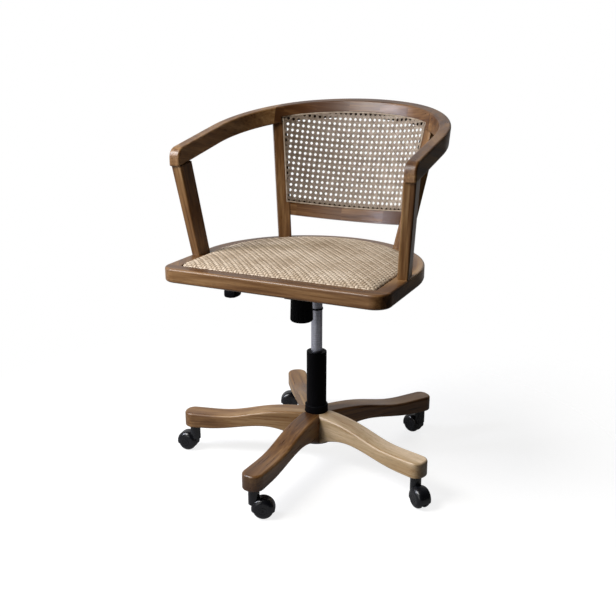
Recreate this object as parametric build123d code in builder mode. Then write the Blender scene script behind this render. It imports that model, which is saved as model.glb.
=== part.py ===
from build123d import *
from math import asin, cos, degrees, hypot, radians, sin, sqrt, tan
import os

os.makedirs("parts", exist_ok=True)

# Caned swivel armchair, in millimetres. The origin is on the floor under the column axis,
# +Z is up and the sitter faces -Y.

# Fits shared by the whole chair
press_gap = 0.02
running_gap = 0.05
seat_gap = 0.3

# Star base: five mitred wooden legs
leg_count = 5
leg_first_angle = 196.9
leg_reach = 344
leg_width = 52
hub_floor_gap = 64
hub_height = 71
leg_end_gap = 74
leg_end_height = 39
leg_shoulder_start = 128
leg_shoulder_drop = 5
leg_waist_start = 212
leg_waist_rise = 1
leg_foot_flat = 42
leg_arch_start = 110
leg_arch_end = 165
leg_arch_height = 24
leg_arch_slope = 0.55
leg_pad_length = 54
leg_end_corner = 24
leg_top_ease = 6
leg_bottom_ease = 3

# Casters
caster_inset = 24
caster_angles = (186.7, 22.5, -40.4, 159.3, 205.0)
caster_trail = 21
wheel_radius = 24
wheel_width = 14.5
wheel_dome = 12
wheel_ease = 2
wheel_groove_radius = 9
wheel_groove_width = 1.2
wheel_groove_depth = 0.8
wheel_side_gap = 0.8
wheel_hood_gap = 1.2
hood_wall = 2
hood_web = 7
hood_skirt_drop = 5
neck_radius = 13
neck_start = 10
neck_ease = 3
axle_radius = 4
stem_radius = 5.5
stem_flange_radius = 10
stem_flange = 3.5
stem_depth_in_hood = 16
socket_wall = 1.5
socket_length = 30
stem_end_gap = 2

# Hub and gas column
tube_radius = 25
tube_wall = 2
tube_top = 292
tube_floor = 4
tube_rise = 4
sleeve_wall = 5
collar_wall = 4
collar_height = 19
collar_ease = 3
hub_plate_radius = 44
hub_plate_thickness = 4
hub_plate_hole_radius = 13
hub_screw_circle = 37.5
hub_screw_radius = 2.5
hub_screw_head_radius = 4.5
hub_screw_length = 26
bush_length = 90
bush_lip = 2.5
bearing_radius = 15
bearing_height = 10
bearing_groove = 1.2
cylinder_radius = 14
cylinder_wall = 2.5
cylinder_bottom = 208
cylinder_plug = 12
cylinder_cap = 18
cylinder_ease = 1
ring_height = 4
ring_wall = 1.5
ring_level = 403
rod_radius = 5
rod_shoulder_radius = 9
rod_shoulder = 4
rod_clip = 2.5
rod_end_below_tube = 4
piston_height = 10
piston_clearance = 0.08
piston_from_plug = 2

# Tilt mechanism
housing_half_width = 48
housing_wall = 3
housing_back = 46
housing_front = -127
housing_floor = 428
housing_shoulder = -26
nose_half_width = 24
nose_floor = 460
housing_rim = 476
socket_wall_top = 2
taper_socket_wall = 5
pivot_y = -116
pivot_z = 469
pivot_radius = 4
pivot_overhang = 3
ear_thickness = 4
ear_gap = 1
ear_radius = 9
release_radius = 4
release_stand = 5.4
release_length = 22
lever_axis_x = -38
lever_rod_radius = 4
lever_pin_radius = 3
lever_finger_gap = 0.6
lever_finger_past = 4
lever_bend_x = -70
lever_bend_radius = 40
lever_end_x = -220
lever_end_drop = 56
lever_bracket = 4
lever_bracket_half = 7
lever_bracket_above = 4
lever_slot_play = 2
paddle_length = 50
paddle_width = 34
paddle_thickness = 18
paddle_ease = 6
paddle_overlap = 14
knob_y = -85
knob_bottom = 398
knob_height = 60
knob_radius = 27.5
knob_top_radius = 25.5
knob_bottom_ease = 6
knob_flutes = 14
knob_flute_radius = 3.5
knob_flute_depth = 1.6
knob_floor = 6
bolt_radius = 5
bolt_collar_radius = 9
bolt_collar = 3
nut_width = 36
nut_depth = 28
nut_height = 6
nut_rise = 4
nut_travel_up = 6
spring_wire_radius = 2
spring_coil_radius = 15
spring_turns = 3
plate_thickness = 4
plate_width = 180
plate_front = -142
plate_back = 62
plate_corner = 12
plate_bolt_x = 70
plate_bolt_front = -126
plate_bolt_back = 46
plate_bolt_radius = 4
plate_bolt_head_radius = 7
plate_bolt_head = 5

# Seat: rimmed wooden frame, board screwed into its underside, domed woven drop-in pad
seat_top = 539
seat_thickness = 33
seat_half_width = 274
seat_front_reach = 263.5
seat_back_centre = -57
seat_corner = 38
seat_ease = 5
rim_width = 34
rabbet_width = 14
board_thickness = 12
board_screw_radius = 2
board_screw_head_radius = 4
board_screw_length = 24
board_screw_front_x = 120
board_screw_side_y = -160
board_screw_back_angles = (20, 65, 115, 160)
pad_gap = 1.2
pad_corner = 12
pad_crown = 14
pad_foot_draw = 2
pad_edge_drop = 5
pad_profile = ((3, 0.15), (14, 0.45), (45, 0.75), (100, 0.93), (145, 1))

# Leaning back: a cylinder whose axis leans backwards, seen from its front face
back_lean = 16.7
back_foot = 172.4
back_radius = 360
stile_thickness = 24
stile_inner_at_seat = 141
stile_outer_at_seat = 171.4
stile_inner_splay = 0.151
stile_outer_splay = 0.147
stile_middle = 180
stile_low_mark = 60
stile_high_mark = 330
stile_ease = 2
stile_sink = 6
lower_rail_bottom = 51
lower_rail_height = 40
lower_rail_thickness = 20
lower_rail_ease = 2.5
tenon_length = 14
tenon_inset = 6

# Cane panel in its groove
cane_overlap = 9
cane_thickness = 1.5
spline_width = 5
spline_proud = 1.8
spline_depth = 3
spline_gap = 0.15
spline_below_rail_top = 23.4

# Horseshoe rail: arms and crest in one slanting plane
rail_slope = 11.31
rail_back_height = 882.3
rail_height = 40
rail_width = 28
rail_half_width = 269
rail_corner = 220
rail_front = -169
rail_nose = 26
rail_top_ease = 5
rail_bottom_ease = 3
rail_split_x = 207

# Front arm posts
post_foot_x = 258.5
post_foot_y = -106.7
post_head_x = 279
post_head_y = -142
post_head_drop = 129.3
post_foot_width = 24.5
post_foot_depth = 43
post_head_width = 28
post_head_depth = 45
post_toe = 7
post_ease = 4
post_tenon_width = 12
post_tenon_depth = 28
post_tenon_length = 16

# Levels and places that follow from the sizes above
caster_radius = leg_reach - caster_inset
stile_turn = degrees(asin(stile_middle / back_radius))
post_head_level = rail_back_height - post_head_drop
hub_top = hub_floor_gap + hub_height
leg_end_top = leg_end_gap + leg_end_height
leg_arch_top = hub_floor_gap + leg_arch_height
sleeve_radius = tube_radius + sleeve_wall
seat_bottom = seat_top - seat_thickness
board_top = seat_bottom + board_thickness
plate_bottom = seat_bottom - plate_thickness
tube_bottom = hub_floor_gap + tube_rise
bearing_bottom = tube_bottom + tube_floor
bearing_top = bearing_bottom + bearing_height
lever_axis_z = housing_rim + 2
cylinder_top = lever_axis_z - lever_rod_radius - lever_finger_gap - release_stand
release_top = cylinder_top + release_stand
nut_bottom = nose_floor + housing_wall + seat_gap + bolt_collar + nut_rise
nut_top = nut_bottom + nut_height


# Legs: a bar with a wavy top and an arched underside, round ended and mitred to its neighbours
half_leg = leg_width / 2
mitre_angle = 180 / leg_count
mitre_reach = half_leg / tan(radians(mitre_angle))
mitre_corner = half_leg / sin(radians(mitre_angle))

with BuildPart() as leg:
    with BuildSketch(Plane.XZ):
        with BuildLine():
            Spline(
                (0, hub_top),
                (leg_shoulder_start, hub_top - leg_shoulder_drop),
                (leg_waist_start, leg_end_top + leg_waist_rise),
                (leg_reach, leg_end_top),
                tangents=((1, 0), (1, 0)),
            )
            Polyline(
                (leg_reach, leg_end_top),
                (leg_reach, leg_end_gap),
                (leg_reach - leg_pad_length, leg_end_gap),
            )
            Spline(
                (leg_reach - leg_pad_length, leg_end_gap),
                (leg_arch_end, leg_arch_top),
                (leg_arch_start, leg_arch_top),
                (leg_foot_flat, hub_floor_gap),
                tangents=((-1, 0), (-1, -leg_arch_slope)),
            )
            Polyline((leg_foot_flat, hub_floor_gap), (0, hub_floor_gap), (0, hub_top))
        make_face()
    extrude(amount=half_leg, both=True)
    with BuildSketch(Plane.XY):
        with BuildLine():
            Polyline(
                (0, 0),
                (mitre_reach, half_leg),
                (leg_reach, half_leg),
                (leg_reach, -half_leg),
                (mitre_reach, -half_leg),
                close=True,
            )
        make_face()
        fillet(vertices().group_by(Axis.X)[-1], leg_end_corner)
        Circle(sleeve_radius, mode=Mode.SUBTRACT)
    extrude(amount=hub_top * 2, mode=Mode.INTERSECT)
    top_edges = leg.faces().sort_by(Axis.Z)[-1].edges()
    fillet(top_edges.filter_by(lambda e: hypot(e.center().X, e.center().Y) > mitre_corner), leg_top_ease)
    under_faces = leg.faces().filter_by(lambda f: f.normal_at().Z < -0.5)
    under_edges = under_faces.edges().filter_by(lambda e: e.length > leg_foot_flat)
    fillet(under_edges.filter_by(lambda e: abs(e.center().Y) > half_leg / 2), leg_bottom_ease)
    with BuildSketch(Plane.XY.offset(leg_end_gap)):
        with Locations((caster_radius, 0)):
            Circle(stem_radius + running_gap + socket_wall + press_gap)
    extrude(amount=socket_length, mode=Mode.SUBTRACT)
    with BuildSketch(Plane.XY.offset(hub_floor_gap)):
        with Locations((hub_screw_circle, 0)):
            Circle(hub_screw_radius + press_gap)
    extrude(amount=hub_screw_length - hub_plate_thickness + seat_gap, mode=Mode.SUBTRACT)

leg_angles = [leg_first_angle + 360 / leg_count * k for k in range(leg_count)]
for number, angle in enumerate(leg_angles, start=1):
    turned_leg = leg.part.rotate(Axis.Z, angle)
    turned_leg.label = f"leg_{number}"
    export_step(turned_leg, f"parts/leg_{number}.step")

# Hub: steel sleeve in the legs' bore, plate and screws under them
with BuildPart() as hub_sleeve:
    with BuildSketch(Plane.XY.offset(hub_floor_gap)):
        Circle(sleeve_radius - press_gap)
        Circle(tube_radius + press_gap, mode=Mode.SUBTRACT)
    extrude(amount=hub_height)
hub_sleeve.part.label = "hub_sleeve"
export_step(hub_sleeve.part, "parts/hub_sleeve.step")

hub_plate_bottom = hub_floor_gap - hub_plate_thickness
screw_head_depth = hub_screw_head_radius - hub_screw_radius
with BuildPart() as hub_plate:
    with BuildSketch(Plane.XY.offset(hub_plate_bottom)):
        Circle(hub_plate_radius)
        Circle(hub_plate_hole_radius, mode=Mode.SUBTRACT)
    extrude(amount=hub_plate_thickness)
    with PolarLocations(hub_screw_circle, leg_count, start_angle=leg_first_angle):
        with Locations((0, 0, hub_plate_bottom)):
            Cylinder(
                hub_screw_radius + press_gap,
                hub_plate_thickness,
                align=(Align.CENTER, Align.CENTER, Align.MIN),
                mode=Mode.SUBTRACT,
            )
            Cone(
                hub_screw_head_radius + press_gap,
                hub_screw_radius + press_gap,
                screw_head_depth,
                align=(Align.CENTER, Align.CENTER, Align.MIN),
                mode=Mode.SUBTRACT,
            )
hub_plate.part.label = "hub_plate"
export_step(hub_plate.part, "parts/hub_plate.step")

with BuildPart() as hub_screws:
    with PolarLocations(hub_screw_circle, leg_count, start_angle=leg_first_angle):
        with Locations((0, 0, hub_plate_bottom)):
            Cone(
                hub_screw_head_radius,
                hub_screw_radius,
                screw_head_depth,
                align=(Align.CENTER, Align.CENTER, Align.MIN),
            )
            Cylinder(
                hub_screw_radius,
                hub_screw_length,
                align=(Align.CENTER, Align.CENTER, Align.MIN),
            )
hub_screws.part.label = "hub_screws"
export_step(hub_screws.part, "parts/hub_screws.step")

# Sockets pressed into the leg ends for the caster stems
with BuildPart() as caster_sockets:
    with BuildSketch(Plane.XY.offset(leg_end_gap)):
        with PolarLocations(caster_radius, leg_count, start_angle=leg_first_angle):
            Circle(stem_radius + running_gap + socket_wall)
            Circle(stem_radius + running_gap, mode=Mode.SUBTRACT)
    extrude(amount=socket_length)
caster_sockets.part.label = "caster_sockets"
export_step(caster_sockets.part, "parts/caster_sockets.step")

# Column: outer tube with a floor, plastic guide bush at its mouth, collar at the hub
with BuildPart() as column_tube:
    with BuildSketch(Plane.XY.offset(tube_bottom)):
        Circle(tube_radius)
    extrude(amount=tube_top - tube_bottom)
    with BuildSketch(Plane.XY.offset(tube_top)):
        Circle(tube_radius - tube_wall)
    extrude(amount=tube_floor + tube_bottom - tube_top, mode=Mode.SUBTRACT)
    with BuildSketch(Plane.XY.offset(tube_bottom)):
        Circle(rod_radius + running_gap)
    extrude(amount=tube_floor, mode=Mode.SUBTRACT)
column_tube.part.label = "column_tube"
export_step(column_tube.part, "parts/column_tube.step")

with BuildPart() as column_collar:
    with BuildSketch(Plane.XY.offset(hub_top)):
        Circle(tube_radius + collar_wall)
    extrude(amount=collar_height)
    fillet(column_collar.faces().sort_by(Axis.Z)[-1].edges(), collar_ease)
    with BuildSketch(Plane.XY.offset(hub_top)):
        Circle(tube_radius + press_gap)
    extrude(amount=collar_height, mode=Mode.SUBTRACT)
column_collar.part.label = "column_collar"
export_step(column_collar.part, "parts/column_collar.step")

with BuildPart() as guide_bush:
    with BuildSketch(Plane.XY.offset(tube_top - bush_length)):
        Circle(tube_radius - tube_wall - press_gap)
    extrude(amount=bush_length)
    with BuildSketch(Plane.XY.offset(tube_top)):
        Circle(tube_radius)
    extrude(amount=bush_lip)
    fillet(guide_bush.faces().sort_by(Axis.Z)[-1].edges(), bush_lip / 2)
    with BuildSketch(Plane.XY.offset(tube_top - bush_length)):
        Circle(cylinder_radius + running_gap)
    extrude(amount=bush_length + bush_lip, mode=Mode.SUBTRACT)
guide_bush.part.label = "guide_bush"
export_step(guide_bush.part, "parts/guide_bush.step")

with BuildPart() as thrust_bearing:
    with BuildSketch(Plane.XY.offset(bearing_bottom)):
        Circle(bearing_radius)
    extrude(amount=bearing_height)
    with BuildSketch(Plane.XY.offset(bearing_bottom + bearing_height / 3)):
        Circle(bearing_radius)
        Circle(bearing_radius - bearing_groove, mode=Mode.SUBTRACT)
    extrude(amount=bearing_height / 3, mode=Mode.SUBTRACT)
    with BuildSketch(Plane.XY.offset(bearing_bottom)):
        Circle(rod_radius + running_gap)
    extrude(amount=bearing_height, mode=Mode.SUBTRACT)
thrust_bearing.part.label = "thrust_bearing"
export_step(thrust_bearing.part, "parts/thrust_bearing.step")

# Spindle: piston rod that turns on the bearing, with its shoulder, clip and piston
rod_bottom = tube_bottom - rod_end_below_tube
piston_bottom = cylinder_bottom + cylinder_plug + piston_from_plug
piston_radius = cylinder_radius - cylinder_wall - piston_clearance
clip_top = tube_bottom - seat_gap
with BuildPart() as piston_rod:
    with BuildSketch(Plane.XY.offset(rod_bottom)):
        Circle(rod_radius)
    extrude(amount=piston_bottom + piston_height - rod_bottom)
    with BuildSketch(Plane.XY.offset(bearing_top)):
        Circle(rod_shoulder_radius)
    extrude(amount=rod_shoulder)
    with BuildSketch(Plane.XY.offset(clip_top - rod_clip)):
        Circle(rod_shoulder_radius)
    extrude(amount=rod_clip)
    with BuildSketch(Plane.XY.offset(piston_bottom)):
        Circle(piston_radius)
    extrude(amount=piston_height)
piston_rod.part.label = "piston_rod"
export_step(piston_rod.part, "parts/piston_rod.step")

# Gas cylinder: bored for the piston, plugged round the rod, capped round the release pin
with BuildPart() as gas_cylinder:
    with BuildSketch(Plane.XY.offset(cylinder_bottom)):
        Circle(cylinder_radius)
    extrude(amount=cylinder_top - cylinder_bottom)
    chamfer(gas_cylinder.faces().sort_by(Axis.Z)[-1].edges(), cylinder_ease)
    with BuildSketch(Plane.XY.offset(cylinder_bottom + cylinder_plug)):
        Circle(cylinder_radius - cylinder_wall)
    extrude(amount=cylinder_top - cylinder_bottom - cylinder_plug - cylinder_cap, mode=Mode.SUBTRACT)
    with BuildSketch(Plane.XY.offset(cylinder_bottom)):
        Circle(rod_radius + running_gap)
    extrude(amount=cylinder_plug, mode=Mode.SUBTRACT)
    with BuildSketch(Plane.XY.offset(cylinder_top)):
        Circle(release_radius + running_gap)
    extrude(amount=-cylinder_cap, mode=Mode.SUBTRACT)
gas_cylinder.part.label = "gas_cylinder"
export_step(gas_cylinder.part, "parts/gas_cylinder.step")

with BuildPart() as cylinder_ring:
    with BuildSketch(Plane.XY.offset(ring_level)):
        Circle(cylinder_radius + ring_wall)
        Circle(cylinder_radius + press_gap, mode=Mode.SUBTRACT)
    extrude(amount=ring_height)
cylinder_ring.part.label = "cylinder_ring"
export_step(cylinder_ring.part, "parts/cylinder_ring.step")

with BuildPart() as release_pin:
    with BuildSketch(Plane.XY.offset(release_top - release_length)):
        Circle(release_radius)
    extrude(amount=release_length)
release_pin.part.label = "release_pin"
export_step(release_pin.part, "parts/release_pin.step")

# Mechanism housing: an open-topped steel tub, wide round the cylinder's socket and narrow in
# front, bored for the pivot pin and the tension bolt, with two brackets for the lever's cross pin
inner_half = housing_half_width - housing_wall
nose_inner_half = nose_half_width - housing_wall
inner_back = housing_back - housing_wall
inner_shoulder = housing_shoulder + housing_wall
inner_front = housing_front + housing_wall
with BuildPart() as mechanism_housing:
    with BuildSketch(Plane.XY.offset(housing_floor)):
        with Locations((0, housing_shoulder)):
            Rectangle(
                2 * housing_half_width, housing_back - housing_shoulder, align=(Align.CENTER, Align.MIN)
            )
    extrude(amount=housing_rim - housing_floor)
    with BuildSketch(Plane.XY.offset(nose_floor)):
        with Locations((0, housing_front)):
            Rectangle(2 * nose_half_width, inner_shoulder - housing_front, align=(Align.CENTER, Align.MIN))
    extrude(amount=housing_rim - nose_floor)
    with BuildSketch(Plane.XY.offset(housing_floor + housing_wall)):
        with Locations((0, inner_shoulder)):
            Rectangle(2 * inner_half, inner_back - inner_shoulder, align=(Align.CENTER, Align.MIN))
    extrude(amount=housing_rim - housing_floor, mode=Mode.SUBTRACT)
    with BuildSketch(Plane.XY.offset(nose_floor + housing_wall)):
        with Locations((0, inner_front)):
            Rectangle(2 * nose_inner_half, inner_shoulder - inner_front, align=(Align.CENTER, Align.MIN))
    extrude(amount=housing_rim - nose_floor, mode=Mode.SUBTRACT)
    with BuildSketch(Plane.XY.offset(housing_floor)):
        Circle(cylinder_radius + press_gap + taper_socket_wall)
    extrude(amount=cylinder_top - socket_wall_top - housing_floor)
    with BuildSketch(Plane.XZ.offset(-lever_bracket_half - lever_bracket)):
        with Locations((-inner_half, housing_floor + housing_wall)):
            Rectangle(
                2 * (lever_axis_x + inner_half),
                lever_axis_z + lever_bracket_above - housing_floor - housing_wall,
                align=Align.MIN,
            )
    extrude(amount=2 * (lever_bracket_half + lever_bracket))
    with BuildSketch(Plane.XZ.offset(-lever_bracket_half)):
        with Locations((-housing_half_width, lever_axis_z - lever_rod_radius - lever_slot_play)):
            Rectangle(
                2 * (lever_axis_x + housing_half_width),
                4 * lever_rod_radius,
                align=Align.MIN,
            )
    extrude(amount=2 * lever_bracket_half, mode=Mode.SUBTRACT)
    with BuildSketch(Plane.XY.offset(housing_floor)):
        Circle(cylinder_radius + press_gap)
    extrude(amount=cylinder_top - housing_floor, mode=Mode.SUBTRACT)
    with BuildSketch(Plane.XZ.offset(-2 * lever_bracket_half)):
        with Locations((lever_axis_x, lever_axis_z)):
            Circle(lever_pin_radius + running_gap)
    extrude(amount=4 * lever_bracket_half, mode=Mode.SUBTRACT)
    with BuildSketch(Plane.YZ.offset(-nose_half_width)):
        with Locations((pivot_y, pivot_z)):
            Circle(pivot_radius + press_gap)
    extrude(amount=2 * nose_half_width, mode=Mode.SUBTRACT)
    with BuildSketch(Plane.XY.offset(nose_floor)):
        with Locations((0, knob_y)):
            Circle(bolt_radius + running_gap)
    extrude(amount=housing_wall, mode=Mode.SUBTRACT)
mechanism_housing.part.label = "mechanism_housing"
export_step(mechanism_housing.part, "parts/mechanism_housing.step")

pivot_half_length = nose_half_width + ear_gap + ear_thickness + pivot_overhang
with BuildPart() as pivot_pin:
    with BuildSketch(Plane.YZ.offset(-pivot_half_length)):
        with Locations((pivot_y, pivot_z)):
            Circle(pivot_radius)
    extrude(amount=2 * pivot_half_length)
    chamfer(pivot_pin.edges().filter_by(GeomType.CIRCLE), pivot_overhang / 3)
pivot_pin.part.label = "pivot_pin"
export_step(pivot_pin.part, "parts/pivot_pin.step")

# Height lever: a bent rod on a cross pin, with a moulded paddle on its outer end
with BuildPart() as lever_rod:
    with BuildLine() as lever_route:
        FilletPolyline(
            (lever_finger_past, 0, lever_axis_z),
            (lever_bend_x, 0, lever_axis_z),
            (lever_end_x, 0, lever_axis_z - lever_end_drop),
            radius=lever_bend_radius,
        )
    with BuildSketch(Plane.YZ.offset(lever_finger_past)):
        with Locations((0, lever_axis_z)):
            Circle(lever_rod_radius)
    sweep(path=lever_route.wire())
    with BuildSketch(Plane.XZ.offset(-lever_bracket_half - lever_bracket)):
        with Locations((lever_axis_x, lever_axis_z)):
            Circle(lever_pin_radius)
    extrude(amount=2 * (lever_bracket_half + lever_bracket))
lever_rod.part.label = "lever_rod"
export_step(lever_rod.part, "parts/lever_rod.step")

lever_run = Vector(lever_end_x - lever_bend_x, 0, -lever_end_drop).normalized()
paddle_start = Vector(lever_end_x, 0, lever_axis_z - lever_end_drop) - lever_run * paddle_overlap
paddle_plane = Plane(origin=paddle_start, x_dir=(0, 1, 0), z_dir=lever_run)
with BuildPart() as lever_paddle:
    with BuildSketch(paddle_plane):
        RectangleRounded(paddle_width / 2, paddle_thickness + 2, paddle_ease)
    with BuildSketch(paddle_plane.offset(paddle_overlap)):
        RectangleRounded(paddle_width, paddle_thickness, paddle_ease)
    with BuildSketch(paddle_plane.offset(paddle_length)):
        RectangleRounded(paddle_width - 2, paddle_thickness - 1, paddle_ease)
    loft(ruled=True)
    fillet(lever_paddle.faces().sort_by(Axis.X)[0].edges(), paddle_ease / 2)
    with BuildSketch(paddle_plane):
        Circle(lever_rod_radius + press_gap)
    extrude(amount=paddle_overlap + seat_gap, mode=Mode.SUBTRACT)
lever_paddle.part.label = "lever_paddle"
export_step(lever_paddle.part, "parts/lever_paddle.step")

# Tilt tension: fluted knob on a bolt, a nut that climbs it, and the spring above the nut
bolt_bottom = knob_bottom + knob_floor
bolt_collar_bottom = nose_floor + housing_wall + seat_gap
with BuildPart() as tension_knob:
    with BuildSketch(Plane.XY.offset(knob_bottom)):
        with Locations((0, knob_y)):
            Circle(knob_radius)
    with BuildSketch(Plane.XY.offset(knob_bottom + knob_height)):
        with Locations((0, knob_y)):
            Circle(knob_top_radius)
    loft()
    fillet(tension_knob.faces().sort_by(Axis.Z)[0].edges(), knob_bottom_ease)
    with Locations((0, knob_y, knob_bottom)):
        with PolarLocations(knob_radius + knob_flute_radius - knob_flute_depth, knob_flutes):
            Cylinder(
                knob_flute_radius,
                knob_height,
                align=(Align.CENTER, Align.CENTER, Align.MIN),
                mode=Mode.SUBTRACT,
            )
    with BuildSketch(Plane.XY.offset(bolt_bottom)):
        with Locations((0, knob_y)):
            Circle(bolt_radius + press_gap)
    extrude(amount=knob_height, mode=Mode.SUBTRACT)
tension_knob.part.label = "tension_knob"
export_step(tension_knob.part, "parts/tension_knob.step")

with BuildPart() as tension_bolt:
    with BuildSketch(Plane.XY.offset(bolt_bottom)):
        with Locations((0, knob_y)):
            Circle(bolt_radius)
    extrude(amount=nut_top + nut_travel_up + seat_gap - bolt_bottom)
    with BuildSketch(Plane.XY.offset(bolt_collar_bottom)):
        with Locations((0, knob_y)):
            Circle(bolt_collar_radius)
    extrude(amount=bolt_collar)
tension_bolt.part.label = "tension_bolt"
export_step(tension_bolt.part, "parts/tension_bolt.step")

with BuildPart() as spring_nut:
    with BuildSketch(Plane.XY.offset(nut_bottom)):
        with Locations((0, knob_y)):
            RectangleRounded(nut_width, nut_depth, nut_height / 2)
            Circle(bolt_radius + running_gap, mode=Mode.SUBTRACT)
    extrude(amount=nut_height)
spring_nut.part.label = "spring_nut"
export_step(spring_nut.part, "parts/spring_nut.step")

spring_low = nut_top + spring_wire_radius + seat_gap
spring_high = plate_bottom - spring_wire_radius - seat_gap
spring_rise = spring_high - spring_low
with BuildPart() as tension_spring:
    with BuildLine(Plane((0, knob_y, spring_low))):
        coil = Helix(spring_rise / spring_turns, spring_rise, spring_coil_radius)
    with BuildSketch(Plane(origin=coil @ 0, z_dir=coil % 0)):
        Circle(spring_wire_radius)
    sweep(path=coil, is_frenet=True)
tension_spring.part.label = "tension_spring"
spring_steps = 40
spring_points = [coil @ (k / spring_steps / spring_turns) for k in range(int(spring_steps * spring_turns))]
spring_gap = min(
    (near - far).length
    for k, near in enumerate(spring_points)
    for far in spring_points[k + spring_steps // 2 :]
)
print(f"tension spring: least gap to itself {spring_gap - 2 * spring_wire_radius:.2f} mm")
export_step(tension_spring.part, "parts/tension_spring.step")


# Seat: D-shaped outline, square in front and half round behind, drawn at any inset
def seat_plan(inset, level):
    half = seat_half_width - inset
    front = inset - seat_front_reach
    corner = max(seat_corner - inset, pad_corner)
    with BuildSketch(Plane.XY.offset(level)) as plan:
        with BuildLine():
            CenterArc((0, seat_back_centre), half, 0, 90)
            CenterArc((0, seat_back_centre), half, 90, 90)
            Line((-half, seat_back_centre), (-half, front + corner))
            CenterArc((corner - half, front + corner), corner, 180, 90)
            Line((corner - half, front), (half - corner, front))
            CenterArc((half - corner, front + corner), corner, 270, 90)
            Line((half, front + corner), (half, seat_back_centre))
        make_face()
    return plan.sketch


board_inset = rim_width - rabbet_width
board_screw_inset = board_inset + rabbet_width / 2
board_screw_places = [
    (side * board_screw_front_x, board_screw_inset - seat_front_reach) for side in (-1, 1)
]
board_screw_places += [
    (side * (seat_half_width - board_screw_inset), board_screw_side_y) for side in (-1, 1)
]
board_screw_places += [
    (
        (seat_half_width - board_screw_inset) * cos(radians(angle)),
        seat_back_centre + (seat_half_width - board_screw_inset) * sin(radians(angle)),
    )
    for angle in board_screw_back_angles
]
plate_bolt_places = [
    (side * plate_bolt_x, y) for side in (-1, 1) for y in (plate_bolt_front, plate_bolt_back)
]

# Front post: toed out, leaning outwards and forwards, tenoned into the seat and the arm
rail_plane = Plane(
    origin=(0, back_foot + (rail_back_height - seat_top) * tan(radians(back_lean)), rail_back_height),
    x_dir=(1, 0, 0),
    z_dir=(0, -sin(radians(rail_slope)), cos(radians(rail_slope))),
)
rail_underside = rail_plane.offset(-rail_height * cos(radians(rail_slope)))


def post_plane(level):
    share = (level - seat_top) / (post_head_level - seat_top)
    return Plane(
        origin=(
            post_foot_x + (post_head_x - post_foot_x) * share,
            post_foot_y + (post_head_y - post_foot_y) * share,
            level,
        ),
        x_dir=(cos(radians(post_toe)), sin(radians(post_toe)), 0),
        z_dir=(0, 0, 1),
    )


def post_tenon(level, play):
    with BuildPart() as tenon:
        with BuildSketch(post_plane(level).offset(-post_tenon_length - play)):
            Rectangle(post_tenon_width + 2 * play, post_tenon_depth + 2 * play)
        extrude(amount=2 * (post_tenon_length + play))
    return tenon.part


post_overrun = 2 * rail_height
post_head_tenon_level = post_head_level
foot_mortise = post_tenon(seat_top, press_gap)
head_mortise = post_tenon(post_head_tenon_level, press_gap)

with BuildPart() as seat_frame:
    extrude(seat_plan(0, seat_bottom), amount=seat_thickness)
    fillet(seat_frame.faces().sort_by(Axis.Z)[-1].edges(), seat_ease)
    fillet(seat_frame.faces().sort_by(Axis.Z)[0].edges(), seat_ease)
    extrude(seat_plan(rim_width, seat_bottom), amount=seat_thickness, mode=Mode.SUBTRACT)
    extrude(seat_plan(board_inset, seat_bottom), amount=board_thickness, mode=Mode.SUBTRACT)
    with BuildSketch(Plane.XY.offset(board_top)):
        with Locations(*board_screw_places):
            Circle(board_screw_radius + press_gap)
    extrude(amount=board_screw_length - board_thickness + seat_gap, mode=Mode.SUBTRACT)
    add(foot_mortise, mode=Mode.SUBTRACT)
    add(foot_mortise.mirror(Plane.YZ), mode=Mode.SUBTRACT)
seat_frame.part.label = "seat_frame"
export_step(seat_frame.part, "parts/seat_frame.step")

board_screw_head = board_screw_head_radius - board_screw_radius
with BuildPart() as seat_board:
    extrude(seat_plan(board_inset + seat_gap, seat_bottom), amount=board_thickness)
    with BuildSketch(Plane.XY.offset(seat_bottom)):
        with Locations(*plate_bolt_places):
            Circle(plate_bolt_radius + press_gap)
        with Locations(*board_screw_places):
            Circle(board_screw_radius + press_gap)
    extrude(amount=board_thickness, mode=Mode.SUBTRACT)
    with Locations(*[(x, y, seat_bottom) for x, y in board_screw_places]):
        Cone(
            board_screw_head_radius + press_gap,
            board_screw_radius + press_gap,
            board_screw_head,
            align=(Align.CENTER, Align.CENTER, Align.MIN),
            mode=Mode.SUBTRACT,
        )
seat_board.part.label = "seat_board"
export_step(seat_board.part, "parts/seat_board.step")

# Woven pad: sides drawn in above the board, then a crown over the rim
pad_inset = rim_width + pad_gap
pad_sections = [seat_plan(pad_inset + pad_foot_draw, board_top), seat_plan(pad_inset, seat_top - pad_edge_drop)]
pad_sections += [seat_plan(pad_inset + inset, seat_top + pad_crown * rise) for inset, rise in pad_profile]
with BuildPart() as seat_pad:
    loft(pad_sections, ruled=True)
seat_pad.part.label = "seat_pad"
export_step(seat_pad.part, "parts/seat_pad.step")

# Seat plate: bolted under the board, with two ears that hang on the pivot pin
with BuildPart() as seat_plate:
    with BuildSketch(Plane.XY.offset(plate_bottom)):
        with Locations((0, (plate_front + plate_back) / 2)):
            RectangleRounded(plate_width, plate_back - plate_front, plate_corner)
    extrude(amount=plate_thickness)
    for side in (-1, 1):
        ear_inner = nose_half_width + ear_gap
        with BuildSketch(Plane.YZ.offset(side * (ear_inner + ear_thickness / 2))):
            with Locations((pivot_y, pivot_z)):
                Circle(ear_radius)
                Rectangle(2 * ear_radius, plate_bottom - pivot_z, align=(Align.CENTER, Align.MIN))
                Circle(pivot_radius + running_gap, mode=Mode.SUBTRACT)
        extrude(amount=ear_thickness / 2, both=True)
    with BuildSketch(Plane.XY.offset(plate_bottom)):
        with Locations(*plate_bolt_places):
            Circle(plate_bolt_radius + press_gap)
    extrude(amount=plate_thickness, mode=Mode.SUBTRACT)
seat_plate.part.label = "seat_plate"
export_step(seat_plate.part, "parts/seat_plate.step")

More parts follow.
